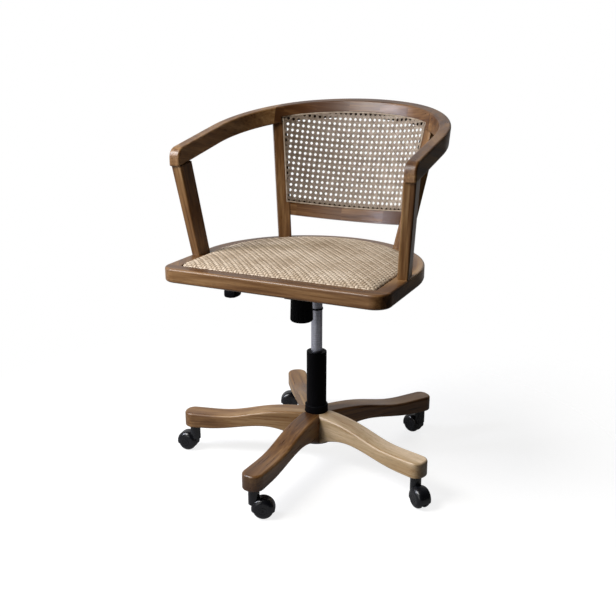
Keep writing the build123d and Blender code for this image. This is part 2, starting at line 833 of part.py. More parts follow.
# Seat fasteners: hexagon bolts through plate and board, countersunk screws round the board
with BuildPart() as seat_fasteners:
    with BuildSketch(Plane.XY.offset(plate_bottom)):
        with Locations(*plate_bolt_places):
            Circle(plate_bolt_radius)
    extrude(amount=plate_thickness + board_thickness)
    with BuildSketch(Plane.XY.offset(plate_bottom)):
        with Locations(*plate_bolt_places):
            RegularPolygon(plate_bolt_head_radius, 6)
    extrude(amount=-plate_bolt_head)
    with Locations(*[(x, y, seat_bottom) for x, y in board_screw_places]):
        Cone(
            board_screw_head_radius,
            board_screw_radius,
            board_screw_head,
            align=(Align.CENTER, Align.CENTER, Align.MIN),
        )
        Cylinder(
            board_screw_radius,
            board_screw_length,
            align=(Align.CENTER, Align.CENTER, Align.MIN),
        )
seat_fasteners.part.label = "seat_fasteners"
export_step(seat_fasteners.part, "parts/seat_fasteners.step")

with BuildPart() as arm_post_right:
    for level in (seat_top - stile_sink, post_head_level + post_overrun):
        share = (level - seat_top) / (post_head_level - seat_top)
        with BuildSketch(post_plane(level)):
            RectangleRounded(
                post_foot_width + (post_head_width - post_foot_width) * share,
                post_foot_depth + (post_head_depth - post_foot_depth) * share,
                post_ease,
            )
    loft(ruled=True)
    split(bisect_by=rail_underside, keep=Keep.BOTTOM)
    add(seat_frame.part, mode=Mode.SUBTRACT)
    add(post_tenon(seat_top, 0))
    add(post_tenon(post_head_tenon_level, 0))
arm_post_right.part.label = "arm_post_right"
export_step(arm_post_right.part, "parts/arm_post_right.step")

arm_post_left = mirror(arm_post_right.part, about=Plane.YZ)
arm_post_left.label = "arm_post_left"
export_step(arm_post_left, "parts/arm_post_left.step")

# Back: pieces cut from one leaning cylinder, whose front face carries the cane
back_plane = Plane(
    origin=(0, back_foot, seat_top),
    x_dir=(1, 0, 0),
    z_dir=(0, sin(radians(back_lean)), cos(radians(back_lean))),
)
back_face = Plane(origin=back_plane.origin, x_dir=(1, 0, 0), z_dir=-back_plane.y_dir)
back_height = (rail_back_height - seat_top) * 2
back_depth = back_radius / 2


def back_shell(depth_from, depth_to):
    with BuildPart() as shell:
        with BuildSketch(back_plane.offset(-back_height / 4)):
            with Locations((0, -back_radius)):
                Circle(back_radius + depth_to)
                Circle(back_radius + depth_from, mode=Mode.SUBTRACT)
            Rectangle(2 * rail_half_width, 2 * back_radius, mode=Mode.INTERSECT)
        extrude(amount=back_height)
    return shell.part


def stile_inner(height):
    return stile_inner_at_seat + stile_inner_splay * height


def stile_outer(height):
    return stile_outer_at_seat + stile_outer_splay * height


def cane_window(inset):
    low = lower_rail_bottom + lower_rail_height - cane_overlap + inset
    high = back_height
    low_half = stile_inner(low) + cane_overlap - inset
    high_half = stile_inner(high) + cane_overlap - inset
    with BuildPart() as window:
        with BuildSketch(back_face):
            with BuildLine():
                Polyline(
                    (-low_half, low), (low_half, low), (high_half, high), (-high_half, high), close=True
                )
            make_face()
        extrude(amount=back_depth, both=True)
        split(bisect_by=rail_plane.offset(-spline_below_rail_top - inset), keep=Keep.BOTTOM)
    return window.part


def spline_ring(depth_from, depth_to, play):
    with BuildPart() as ring:
        add(back_shell(depth_from, depth_to))
        add(cane_window(-play), mode=Mode.INTERSECT)
        add(cane_window(spline_width + play), mode=Mode.SUBTRACT)
    return ring.part


with BuildPart() as cane_spline:
    add(spline_ring(-spline_proud, spline_depth, 0))
cane_spline.part.label = "cane_spline"
export_step(cane_spline.part, "parts/cane_spline.step")

with BuildPart() as back_cane:
    add(back_shell(-cane_thickness - running_gap, -running_gap))
    add(cane_window(spline_width + spline_gap), mode=Mode.INTERSECT)
back_cane.part.label = "back_cane"
export_step(back_cane.part, "parts/back_cane.step")

groove = spline_ring(-2 * spline_proud, spline_depth + spline_gap, spline_gap)

# The crest's inner face is cut back just behind the cane, all over the panel's top
with BuildPart() as crest_relief:
    add(back_shell(-rail_width, seat_gap))
    add(cane_window(-spline_gap), mode=Mode.INTERSECT)


def lower_rail_bar(depth_from, depth_to, trim, past_stile):
    low = lower_rail_bottom + trim
    high = lower_rail_bottom + lower_rail_height - trim
    with BuildPart() as bar:
        add(back_shell(depth_from, depth_to))
        with BuildSketch(back_face):
            with BuildLine():
                Polyline(
                    (-stile_inner(low) - past_stile, low),
                    (stile_inner(low) + past_stile, low),
                    (stile_inner(high) + past_stile, high),
                    (-stile_inner(high) - past_stile, high),
                    close=True,
                )
            make_face()
        extrude(amount=back_depth, both=True, mode=Mode.INTERSECT)
    return bar.part


rail_tenon = lower_rail_bar(
    tenon_inset, lower_rail_thickness - tenon_inset, tenon_inset, tenon_length
)
rail_mortise = lower_rail_bar(
    tenon_inset - press_gap,
    lower_rail_thickness - tenon_inset + press_gap,
    tenon_inset - press_gap,
    tenon_length + seat_gap,
)

# Stile blank: its sides point at the cylinder's axis, so they are drawn on a turned plane
stile_low = -2 * stile_thickness
turn_sine = sin(radians(stile_turn))
turn_cosine = cos(radians(stile_turn))
stile_plane = Plane(
    origin=back_plane.from_local_coords((back_radius * turn_sine, back_radius * (turn_cosine - 1), 0)),
    x_dir=back_plane.x_dir * turn_cosine - back_plane.y_dir * turn_sine,
    z_dir=back_plane.x_dir * -turn_sine - back_plane.y_dir * turn_cosine,
)


def along_stile_plane(x):
    return back_radius * sin(asin(x / back_radius) - radians(stile_turn))


# One side of the stile as a straight line through its places at the two marks
def stile_side(edge, height):
    low = along_stile_plane(edge(stile_low_mark))
    high = along_stile_plane(edge(stile_high_mark))
    return low + (high - low) * (height - stile_low_mark) / (stile_high_mark - stile_low_mark)


with BuildPart() as stile_blank:
    add(back_shell(0, stile_thickness))
    with BuildSketch(stile_plane):
        with BuildLine():
            Polyline(
                (stile_side(stile_inner, stile_low), stile_low),
                (stile_side(stile_outer, stile_low), stile_low),
                (stile_side(stile_outer, back_height), back_height),
                (stile_side(stile_inner, back_height), back_height),
                close=True,
            )
        make_face()
    extrude(amount=2 * stile_thickness, both=True, mode=Mode.INTERSECT)

with BuildPart() as lower_back_rail:
    add(lower_rail_bar(0, lower_rail_thickness, 0, tenon_length))
    long_edges = lower_back_rail.edges().filter_by(lambda e: e.length > stile_inner_at_seat)
    fillet(long_edges.group_by(Axis.Z)[0], lower_rail_ease)
    add(stile_blank.part, mode=Mode.SUBTRACT)
    add(stile_blank.part.mirror(Plane.YZ), mode=Mode.SUBTRACT)
    add(rail_tenon)
    add(groove, mode=Mode.SUBTRACT)
lower_back_rail.part.label = "lower_back_rail"
export_step(lower_back_rail.part, "parts/lower_back_rail.step")

with BuildPart() as back_stile_right:
    add(stile_blank.part)
    long_edges = back_stile_right.edges().filter_by(lambda e: e.length > back_height / 2)
    fillet(long_edges, stile_ease)
    split(bisect_by=rail_underside, keep=Keep.BOTTOM)
    split(bisect_by=Plane.XY.offset(seat_top - stile_sink), keep=Keep.TOP)
    add(seat_frame.part, mode=Mode.SUBTRACT)
    extrude(seat_plan(rim_width, seat_bottom), amount=seat_thickness, mode=Mode.SUBTRACT)
    add(rail_mortise, mode=Mode.SUBTRACT)
    add(groove, mode=Mode.SUBTRACT)
back_stile_right.part.label = "back_stile_right"
export_step(back_stile_right.part, "parts/back_stile_right.step")

back_stile_left = mirror(back_stile_right.part, about=Plane.YZ)
back_stile_left.label = "back_stile_left"
export_step(back_stile_left, "parts/back_stile_left.step")


# Horseshoe rail: straight arms, round corners and a flatter back, cut from the leaning
# cylinder by two slanting planes and parted over the stiles into two arms and the crest
rail_arm_reach = 2 * back_radius
corner_x = rail_half_width - rail_corner
corner_rise = sqrt((back_radius - rail_corner) ** 2 - corner_x**2)
corner_y = corner_rise - back_radius


def horseshoe(grow):
    half = rail_half_width + grow
    back = back_radius + grow
    meet = back / (back_radius - rail_corner)
    meet_x = corner_x * meet
    meet_y = corner_rise * meet - back_radius
    corner = rail_corner + grow
    with BuildSketch(back_plane.offset(-back_height / 2)) as plan:
        with BuildLine():
            Line((-half, -rail_arm_reach), (-half, corner_y))
            RadiusArc((-half, corner_y), (-meet_x, meet_y), corner)
            RadiusArc((-meet_x, meet_y), (meet_x, meet_y), back)
            RadiusArc((meet_x, meet_y), (half, corner_y), corner)
            Line((half, corner_y), (half, -rail_arm_reach))
            Line((half, -rail_arm_reach), (-half, -rail_arm_reach))
        make_face()
    return plan.sketch


with BuildPart() as rail:
    extrude(horseshoe(rail_width), amount=back_height * 2)
    extrude(horseshoe(0), amount=back_height * 2, mode=Mode.SUBTRACT)
    split(bisect_by=rail_plane, keep=Keep.BOTTOM)
    split(bisect_by=rail_underside, keep=Keep.TOP)
    split(bisect_by=Plane.XZ.offset(-rail_front), keep=Keep.BOTTOM)
    nose_edges = rail.edges().filter_by(Axis.X).group_by(Axis.Y)[0].group_by(Axis.Z)[-1]
    fillet(nose_edges, rail_nose)
    rail_faces = rail.faces().filter_by(rail_plane).sort_by(Axis.Z)
    fillet(rail_faces[-1].edges().filter_by(Axis.X, reverse=True), rail_top_ease)
    under_edges = rail.faces().filter_by(rail_plane).sort_by(Axis.Z)[0].edges()
    fillet(under_edges.filter_by(Axis.X, reverse=True), rail_bottom_ease)

with BuildPart() as crest_rail:
    add(rail.part)
    split(bisect_by=Plane.YZ.offset(rail_split_x), keep=Keep.BOTTOM)
    split(bisect_by=Plane.YZ.offset(-rail_split_x), keep=Keep.TOP)
    add(groove, mode=Mode.SUBTRACT)
    add(crest_relief.part, mode=Mode.SUBTRACT)
crest_rail.part.label = "crest_rail"
export_step(crest_rail.part, "parts/crest_rail.step")

with BuildPart() as arm_right:
    add(rail.part)
    split(bisect_by=Plane.YZ.offset(rail_split_x), keep=Keep.TOP)
    add(head_mortise, mode=Mode.SUBTRACT)
arm_right.part.label = "arm_right"
export_step(arm_right.part, "parts/arm_right.step")

arm_left = mirror(arm_right.part, about=Plane.YZ)
arm_left.label = "arm_left"
export_step(arm_left, "parts/arm_left.step")

# Caster, drawn with its stem on the Z axis and its axle trailing along +X
hood_inner = wheel_radius + wheel_hood_gap
hood_outer = hood_inner + hood_wall
hood_half_width = hood_web / 2 + wheel_side_gap + wheel_width
stem_top = leg_end_gap + socket_length - stem_end_gap
hood_top = leg_end_gap - seat_gap - stem_flange
axle_plane = Plane.XZ.offset(-hood_half_width)
skirt_level = wheel_radius - hood_skirt_drop

with BuildPart() as wheel_space:
    with BuildSketch(axle_plane):
        with Locations((caster_trail, wheel_radius)):
            Circle(hood_inner)
    extrude(amount=2 * hood_half_width)
    fillet(wheel_space.edges().filter_by(GeomType.CIRCLE), wheel_dome)

with BuildPart() as caster_hood:
    with BuildSketch(axle_plane):
        with Locations((caster_trail, wheel_radius)):
            Circle(hood_outer)
    extrude(amount=2 * hood_half_width)
    fillet(caster_hood.edges().filter_by(GeomType.CIRCLE), wheel_dome)
    split(bisect_by=Plane.XY.offset(skirt_level), keep=Keep.TOP)
    with BuildSketch(Plane.XY.offset(wheel_radius + neck_start)):
        Circle(neck_radius)
    extrude(amount=hood_top - wheel_radius - neck_start)
    fillet(caster_hood.faces().sort_by(Axis.Z)[-1].edges(), neck_ease)
    add(wheel_space.part, mode=Mode.SUBTRACT)
    with BuildSketch(Plane.XZ.offset(-hood_web / 2)):
        with Locations((caster_trail, wheel_radius)):
            Circle(hood_inner + hood_wall / 2)
        with Locations((caster_trail, skirt_level)):
            Rectangle(2 * hood_outer, 2 * hood_outer, align=(Align.CENTER, Align.MIN), mode=Mode.INTERSECT)
    extrude(amount=hood_web)
    with BuildSketch(axle_plane):
        with Locations((caster_trail, wheel_radius)):
            Circle(axle_radius + press_gap)
    extrude(amount=2 * hood_half_width, mode=Mode.SUBTRACT)
    with BuildSketch(Plane.XY.offset(hood_top)):
        Circle(stem_radius + press_gap)
    extrude(amount=-stem_depth_in_hood, mode=Mode.SUBTRACT)

with BuildPart() as caster_stem:
    with BuildSketch(Plane.XY.offset(hood_top - stem_depth_in_hood)):
        Circle(stem_radius)
    extrude(amount=stem_top - hood_top + stem_depth_in_hood)
    with BuildSketch(Plane.XY.offset(hood_top)):
        Circle(stem_flange_radius)
    extrude(amount=stem_flange)
    with BuildSketch(axle_plane):
        with Locations((caster_trail, wheel_radius)):
            Circle(axle_radius)
    extrude(amount=2 * hood_half_width)

wheel_plane = Plane.XZ.offset(-hood_web / 2 - wheel_side_gap - wheel_width)
with BuildPart() as caster_wheel:
    with BuildSketch(wheel_plane):
        with Locations((caster_trail, wheel_radius)):
            Circle(wheel_radius)
    extrude(amount=wheel_width)
    fillet(caster_wheel.edges().filter_by(GeomType.CIRCLE).sort_by(Axis.Y)[-1], wheel_dome)
    fillet(caster_wheel.edges().filter_by(GeomType.CIRCLE).sort_by(Axis.Y)[0], wheel_ease)
    with BuildSketch(wheel_plane):
        with Locations((caster_trail, wheel_radius)):
            Circle(wheel_groove_radius)
            Circle(wheel_groove_radius - wheel_groove_width, mode=Mode.SUBTRACT)
    extrude(amount=wheel_groove_depth, mode=Mode.SUBTRACT)
    with BuildSketch(wheel_plane):
        with Locations((caster_trail, wheel_radius)):
            Circle(axle_radius + running_gap)
    extrude(amount=wheel_width, mode=Mode.SUBTRACT)

caster_pieces = {
    "hood": caster_hood.part,
    "stem": caster_stem.part,
    "wheel_left": caster_wheel.part,
    "wheel_right": mirror(caster_wheel.part, about=Plane.XZ),
}
for number, (leg_angle, trail_angle) in enumerate(zip(leg_angles, caster_angles), start=1):
    stem_place = Location(
        (caster_radius * cos(radians(leg_angle)), caster_radius * sin(radians(leg_angle)), 0),
        (0, 0, trail_angle),
    )
    for piece_name, piece in caster_pieces.items():
        placed = piece.moved(stem_place)
        placed.label = f"caster_{number}_{piece_name}"
        export_step(placed, f"parts/caster_{number}_{piece_name}.step")
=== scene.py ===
from math import atan2, cos, hypot, pi, radians, sin

import bpy
import numpy as np
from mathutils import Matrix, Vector


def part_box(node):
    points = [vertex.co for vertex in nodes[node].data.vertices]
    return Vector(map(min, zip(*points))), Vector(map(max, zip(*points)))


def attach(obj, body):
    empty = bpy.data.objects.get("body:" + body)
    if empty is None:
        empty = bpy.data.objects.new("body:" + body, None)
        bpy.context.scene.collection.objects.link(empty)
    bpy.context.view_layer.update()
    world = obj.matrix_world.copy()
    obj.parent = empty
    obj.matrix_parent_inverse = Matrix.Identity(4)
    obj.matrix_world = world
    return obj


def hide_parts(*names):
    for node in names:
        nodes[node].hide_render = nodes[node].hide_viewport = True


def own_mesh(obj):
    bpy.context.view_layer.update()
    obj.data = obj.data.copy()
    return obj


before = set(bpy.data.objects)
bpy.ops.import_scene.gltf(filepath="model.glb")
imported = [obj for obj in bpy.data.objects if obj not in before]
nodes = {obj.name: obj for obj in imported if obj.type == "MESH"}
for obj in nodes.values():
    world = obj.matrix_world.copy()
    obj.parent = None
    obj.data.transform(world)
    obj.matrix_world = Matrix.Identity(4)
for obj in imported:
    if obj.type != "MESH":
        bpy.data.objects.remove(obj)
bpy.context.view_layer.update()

# Star base legs: five solid walnut bars, band-sawn wavy, rounded over and mitred together
# round the hub. Open-pored satin lacquer; the grain of each bar runs out along its leg.
leg_first_turn = 196.9
# Each leg's tone is set from how bright that leg looks under the lamps. It is partly the wood's own tone and
# partly painted light and shade: the front-right leg is lighter, the front leg darker.
leg_tone_and_painted_light = (0.08, -0.12, 0.29, -0.11, 0.08)


def put(tree, kind, feeds=None, **settings):
    piece = tree.nodes.new(kind)
    for key, value in settings.items():
        setattr(piece, key, value)
    for key, value in (feeds or {}).items():
        if isinstance(value, bpy.types.NodeSocket):
            tree.links.new(value, piece.inputs[key])
        else:
            piece.inputs[key].default_value = value
    return piece


def sum_of(tree, kind, first, second=0.0, third=0.0):
    return put(tree, "ShaderNodeMath", {0: first, 1: second, 2: third}, operation=kind).outputs[0]


def stretch(tree, value, low, high, to_low, to_high):
    feeds = {"Value": value, "From Min": low, "From Max": high, "To Min": to_low, "To Max": to_high}
    return put(tree, "ShaderNodeMapRange", feeds).outputs["Result"]


def tint(tree, share, first, second, way="MIX"):
    mixed = put(tree, "ShaderNodeMix", {0: share, 6: first, 7: second}, data_type="RGBA", blend_type=way)
    return mixed.outputs[2]


def spread(tree, place, scale):
    return put(tree, "ShaderNodeMapping", {"Vector": place, "Scale": scale}).outputs[0]


def noise(tree, place, scale, detail, **more):
    feeds = {"Vector": place, "Scale": scale, "Detail": detail, **more}
    return put(tree, "ShaderNodeTexNoise", feeds).outputs["Fac"]


def ramp(tree, value, stops):
    piece = put(tree, "ShaderNodeValToRGB", {"Fac": value})
    marks = piece.color_ramp.elements
    for number, (place, colour) in enumerate(stops):
        mark = marks[number] if number < 2 else marks.new(place)
        mark.position = place
        mark.color = (*colour, 1)
    return piece.outputs["Color"]


def effect(name, takes, gives):
    tree = bpy.data.node_groups.new(name, "ShaderNodeTree")
    for label, kind, value in takes:
        socket = tree.interface.new_socket(name=label, in_out="INPUT", socket_type=kind)
        if value is not None:
            socket.default_value = value
    for label, kind in gives:
        tree.interface.new_socket(name=label, in_out="OUTPUT", socket_type=kind)
    return tree, tree.nodes.new("NodeGroupInput").outputs, tree.nodes.new("NodeGroupOutput").inputs


def coat(name, rough, gleam):
    material = bpy.data.materials.new(name)
    material.use_nodes = True
    shader = material.node_tree.nodes["Principled BSDF"]
    shader.inputs["Roughness"].default_value = rough
    shader.inputs["Specular IOR Level"].default_value = gleam
    return material, material.node_tree, shader


def emboss(tree, shader, height, strength, distance):
    feeds = {"Height": height, "Strength": strength, "Distance": distance}
    relief = put(tree, "ShaderNodeBump", feeds)
    tree.links.new(relief.outputs[0], shader.inputs["Normal"])


def dress(node_name, material):
    piece = nodes[node_name]
    if not piece.material_slots:
        piece.data.materials.append(material)
    for place in piece.material_slots:
        place.material = material


walnut_grain, grain_in, grain_out = effect(
    "walnut_grain",
    [("Along Grain", "NodeSocketVector", None), ("Tone", "NodeSocketFloat", 0.0)],
    [("Colour", "NodeSocketColor"), ("Roughness", "NodeSocketFloat"), ("Height", "NodeSocketFloat")],
)
tree = walnut_grain
along = grain_in["Along Grain"]
figure_space = spread(tree, along, (1.7, 21, 21))
figure = noise(tree, figure_space, 1.0, 5.0, Roughness=0.6, Distortion=0.7)
fibre_space = spread(tree, along, (9, 230, 230))
fibre = noise(tree, fibre_space, 1.0, 3.0)
pore_space = spread(tree, along, (55, 1100, 1100))
pore_noise = noise(tree, pore_space, 1.0, 1.0)
pores = stretch(tree, pore_noise, 0.60, 0.72, 0.0, 1.0)
broad_space = spread(tree, along, (3.5, 6, 6))
broad = noise(tree, broad_space, 1.0, 2.0)
depth = sum_of(tree, "MULTIPLY_ADD", figure, 0.95, -0.27)
depth = sum_of(tree, "MULTIPLY_ADD", fibre, 0.36, depth)
depth = sum_of(tree, "MULTIPLY_ADD", broad, 0.22, depth)
depth = sum_of(tree, "ADD", depth, grain_in["Tone"])
walnut = ramp(
    tree, depth,
    [(0.26, (0.066, 0.024, 0.006)), (0.94, (0.62, 0.47, 0.31)), (0.40, (0.145, 0.065, 0.020)),
     (0.52, (0.240, 0.126, 0.047)), (0.63, (0.340, 0.204, 0.092)), (0.77, (0.45, 0.32, 0.18))],
)
pore_dark = sum_of(tree, "MULTIPLY", pores, 0.42)
tree.links.new(tint(tree, pore_dark, walnut, (0.05, 0.028, 0.014, 1)), grain_out["Colour"])
tree.links.new(stretch(tree, fibre, 0.3, 0.7, 0.27, 0.42), grain_out["Roughness"])
tree.links.new(sum_of(tree, "MULTIPLY_ADD", pores, -0.8, fibre), grain_out["Height"])


def walnut_coat(name, lay, tone=0.0, staves=None, end_way=None):
    material, tree, shader = coat(name, 0.35, 0.5)
    place = lay(tree)
    if staves is not None:
        length, contrast, first_joint = staves
        step = put(tree, "ShaderNodeSeparateXYZ", {0: place}).outputs[0]
        step = sum_of(tree, "FLOOR", sum_of(tree, "MULTIPLY_ADD", step, 1 / length, first_joint))
        chance = put(tree, "ShaderNodeTexWhiteNoise", {"W": step}, noise_dimensions="1D").outputs["Value"]
        tone = stretch(tree, chance, 0.0, 1.0, tone - contrast, tone + contrast)
        shift = put(tree, "ShaderNodeCombineXYZ", {0: chance, 1: chance, 2: step}).outputs[0]
        place = put(tree, "ShaderNodeVectorMath", {0: place, 1: shift}, operation="ADD").outputs[0]
    grain = put(tree, "ShaderNodeGroup", node_tree=walnut_grain)
    tree.links.new(place, grain.inputs["Along Grain"])
    if isinstance(tone, bpy.types.NodeSocket):
        tree.links.new(tone, grain.inputs["Tone"])
    else:
        grain.inputs["Tone"].default_value = tone
    colour = grain.outputs["Colour"]
    if end_way is not None:
        facing = put(tree, "ShaderNodeTexCoord").outputs["Normal"]
        facing = put(tree, "ShaderNodeVectorMath", {0: facing, 1: end_way}, operation="DOT_PRODUCT")
        facing = facing.outputs["Value"]
        sawn = stretch(tree, facing, 0.55, 0.95, 0.0, 0.55)
        colour = tint(tree, sawn, colour, (0.045, 0.024, 0.012, 1))
    tree.links.new(colour, shader.inputs["Base Color"])
    tree.links.new(grain.outputs["Roughness"], shader.inputs["Roughness"])
    emboss(tree, shader, grain.outputs["Height"], 0.12, 0.0006)
    return material


def straight_lay(turn, start):
    def lay(tree):
        place = put(tree, "ShaderNodeTexCoord").outputs["Object"]
        feeds = {"Vector": place, "Rotation": turn, "Location": start}
        return put(tree, "ShaderNodeMapping", feeds).outputs[0]
    return lay


for number in range(5):
    heading = radians(leg_first_turn + 72 * number)
    lay = straight_lay((0, 0, -heading), (0.9 * number, 0.37 * number, 0.2))
    end_way = (cos(heading), sin(heading), 0)
    dress("leg_%d" % (number + 1), walnut_coat(
        "leg_walnut_%d" % (number + 1), lay, leg_tone_and_painted_light[number], end_way=end_way))

# Hub and gas column: a steel sleeve and plate under the legs' bore, a drawn outer tube with a
# plastic collar and guide bush. Black powder coat, faintly pebbled, on the steel.
pebble, pebble_in, pebble_out = effect(
    "fine_pebble",
    [("Grain Size", "NodeSocketFloat", 0.0012), ("Deep", "NodeSocketColor", (0.003, 0.003, 0.004, 1)),
     ("Worn", "NodeSocketColor", (0.012, 0.012, 0.014, 1)), ("Sheen Low", "NodeSocketFloat", 0.4),
     ("Sheen High", "NodeSocketFloat", 0.6)],
    [("Colour", "NodeSocketColor"), ("Roughness", "NodeSocketFloat"), ("Height", "NodeSocketFloat")],
)
tree = pebble
place = put(tree, "ShaderNodeTexCoord").outputs["Object"]
scale = sum_of(tree, "DIVIDE", 1.0, pebble_in["Grain Size"])
bumps = noise(tree, place, scale, 2.0)
scuffs = noise(tree, place, 38.0, 6.0, Roughness=0.7)
scuffs = stretch(tree, scuffs, 0.42, 0.68, 0.0, 1.0)
tree.links.new(tint(tree, scuffs, pebble_in["Deep"], pebble_in["Worn"]), pebble_out["Colour"])
sheen = stretch(tree, scuffs, 0.0, 1.0, pebble_in["Sheen Low"], pebble_in["Sheen High"])
tree.links.new(sheen, pebble_out["Roughness"])
tree.links.new(bumps, pebble_out["Height"])


def pebbled_coat(name, size, deep, worn, sheen_low, sheen_high, gleam, relief):
    material, tree, shader = coat(name, sheen_low, gleam)
    skin = put(tree, "ShaderNodeGroup", node_tree=pebble)
    for key, value in (("Grain Size", size), ("Deep", (*deep, 1)), ("Worn", (*worn, 1)),
                       ("Sheen Low", sheen_low), ("Sheen High", sheen_high)):
        skin.inputs[key].default_value = value
    tree.links.new(skin.outputs["Colour"], shader.inputs["Base Color"])
    tree.links.new(skin.outputs["Roughness"], shader.inputs["Roughness"])
    emboss(tree, shader, skin.outputs["Height"], relief, 0.0004)
    return material


powder_black = pebbled_coat(
    "powder_black", 0.0011, (0.0022, 0.0021, 0.0027), (0.004, 0.004, 0.005), 0.42, 0.58, 0.05, 0.2)
for name in ("hub_sleeve", "hub_plate", "column_tube", "mechanism_housing", "seat_plate", "lever_rod"):
    dress(name, powder_black)
moulded_black = pebbled_coat(
    "moulded_black", 0.0007, (0.0022, 0.0022, 0.003), (0.005, 0.005, 0.006), 0.45, 0.62, 0.05, 0.3)
for name in ("column_collar", "guide_bush", "cylinder_ring", "tension_knob", "lever_paddle"):
    dress(name, moulded_black)

# Lever grip: a thick moulded paddle pushed on to the lever's bent end, soft-cornered, with a
# shallow thumb hollow on top. Black matt plastic.
low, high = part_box("lever_paddle")
grip_sides = 24
grip_length = (high[0] - low[0]) * 0.70
grip_squareness = 0.45
thumb_hollow = 0.0022
grip_points = []


def shell(name, points, faces, material, smooth=True):
    mesh = bpy.data.meshes.new(name)
    mesh.from_pydata(points, [], faces)
    mesh.polygons.foreach_set("use_smooth", [smooth] * len(mesh.polygons))
    mesh.update()
    mesh.materials.append(material)
    piece = bpy.data.objects.new(name, mesh)
    bpy.context.collection.objects.link(piece)
    return piece


def squared(value):
    return abs(value) ** grip_squareness * (1 if value > 0 else -1)


for share, wide, tall in ((0.0, 0.55, 0.30), (0.03, 0.80, 0.52), (0.12, 0.97, 0.62), (0.45, 1.0, 0.66),
                          (0.80, 1.0, 0.66), (0.93, 0.93, 0.60), (0.98, 0.78, 0.50), (1.0, 0.5, 0.30)):
    x = low[0] + grip_length * share
    middle = low[2] + (high[2] - low[2]) * (0.36 if share < 0.5 else 0.36 + 0.22 * (share - 0.5))
    half_y = (high[1] - low[1]) / 2 * wide
    half_z = (high[2] - low[2]) / 2 * tall * 1.08
    for k in range(grip_sides):
        turn = 2 * pi * k / grip_sides
        across, up = squared(cos(turn)), squared(sin(turn))
        hollow = thumb_hollow * max(up, 0) * max(0, 1 - abs(share - 0.4) / 0.35) * max(0, 1 - across * across)
        grip_points.append((x, (low[1] + high[1]) / 2 + half_y * across, middle + half_z * up - hollow))
last = len(grip_points) - grip_sides
grip_faces = [tuple(range(grip_sides)), tuple(reversed(range(last, last + grip_sides)))]
for first in range(0, last, grip_sides):
    for k in range(grip_sides):
        here, beside = first + k, first + (k + 1) % grip_sides
        grip_faces.append((beside, here, here + grip_sides, beside + grip_sides))
lever_grip = shell("lever_grip", grip_points, grip_faces, moulded_black)
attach(lever_grip, "lever")
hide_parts("lever_paddle")

# Gas cylinder and piston rod: ground and satin-chromed steel, with fine rings left by the
# grinding wheel and a faint film of oil.
satin_chrome, tree, shader = coat("satin_chrome", 0.3, 0.5)
shader.inputs["Metallic"].default_value = 0.85
place = put(tree, "ShaderNodeTexCoord").outputs["Object"]
rings_space = spread(tree, place, (30, 30, 2600))
rings = noise(tree, rings_space, 1.0, 3.0)
film = noise(tree, place, 24.0, 4.0)
steel = tint(tree, stretch(tree, film, 0.35, 0.7, 0, 1), (0.58, 0.59, 0.68, 1), (0.72, 0.73, 0.82, 1))
tree.links.new(steel, shader.inputs["Base Color"])
tree.links.new(stretch(tree, rings, 0.3, 0.7, 0.24, 0.40), shader.inputs["Roughness"])
emboss(tree, shader, rings, 0.08, 0.0002)
for name in ("gas_cylinder", "piston_rod"):
    dress(name, satin_chrome)

# Screws, pins, nut, bearing and caster sockets: turned or pressed steel, zinc plated, so the
# skin is spangled and a little cloudy. Most of them are hidden once the chair is together.
zinc_plate, tree, shader = coat("zinc_plate", 0.4, 0.5)
shader.inputs["Metallic"].default_value = 1.0
place = put(tree, "ShaderNodeTexCoord").outputs["Object"]
spangle = put(tree, "ShaderNodeTexVoronoi", {"Vector": place, "Scale": 420.0}).outputs["Color"]
spangle = put(tree, "ShaderNodeSeparateXYZ", {0: spangle}).outputs[0]
cloud = noise(tree, place, 130.0, 5.0)
zinc = tint(tree, cloud, (0.34, 0.34, 0.33, 1), (0.62, 0.62, 0.60, 1))
tree.links.new(zinc, shader.inputs["Base Color"])
tree.links.new(stretch(tree, spangle, 0, 1, 0.30, 0.52), shader.inputs["Roughness"])
for name in ("hub_screws", "seat_fasteners", "thrust_bearing", "pivot_pin", "tension_bolt", "spring_nut",
             "release_pin", "caster_sockets"):
    dress(name, zinc_plate)

# Tilt spring: round zinc-plated wire wound round the bolt between the nut and the seat plate.
# On the chair its lower coils close as the nut climbs and its upper coils as the seat leans back; here both
# halves are built rigid and carried with the carriage.
spring_low, spring_high = (Vector(corner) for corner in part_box("tension_spring"))
spring_middle = (spring_low + spring_high) / 2
spring_wire = 0.002
spring_radius = 0.015
spring_turns = 3
turn_steps = 32
wire_sides = 10
spring_rise = spring_high.z - spring_low.z - 2 * spring_wire
half_steps = spring_turns * turn_steps // 2
for half, joint, keep in ((0, "tension_turn", 0.50), (1, "seat_tilt", 0.42)):
    coil_points = []
    coil_faces = []
    for step in range(half_steps * half, half_steps * (half + 1) + 1):
        turned = 2 * pi * step / turn_steps
        level = spring_low.z + spring_wire + spring_rise * step / (2 * half_steps)
        for side in range(wire_sides):
            around = 2 * pi * side / wire_sides
            reach = spring_radius + spring_wire * cos(around)
            coil_points.append((
                spring_middle.x + reach * cos(turned), spring_middle.y + reach * sin(turned),
                level + spring_wire * sin(around)))
    for step in range(half_steps):
        for side in range(wire_sides):
            here, beside = wire_sides * step + side, wire_sides * step + (side + 1) % wire_sides
            coil_faces.append((here, here + wire_sides, beside + wire_sides, beside))
    last = wire_sides * half_steps
    coil_faces.append(tuple(range(wire_sides)))
    coil_faces.append(tuple(last + side for side in reversed(range(wire_sides))))
    coil_name = ("spring_lower_coils", "spring_upper_coils")[half]
    coils = shell(coil_name, coil_points, coil_faces, zinc_plate)
    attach(coils, "carriage")
    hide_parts("tension_spring")
    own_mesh(coils)
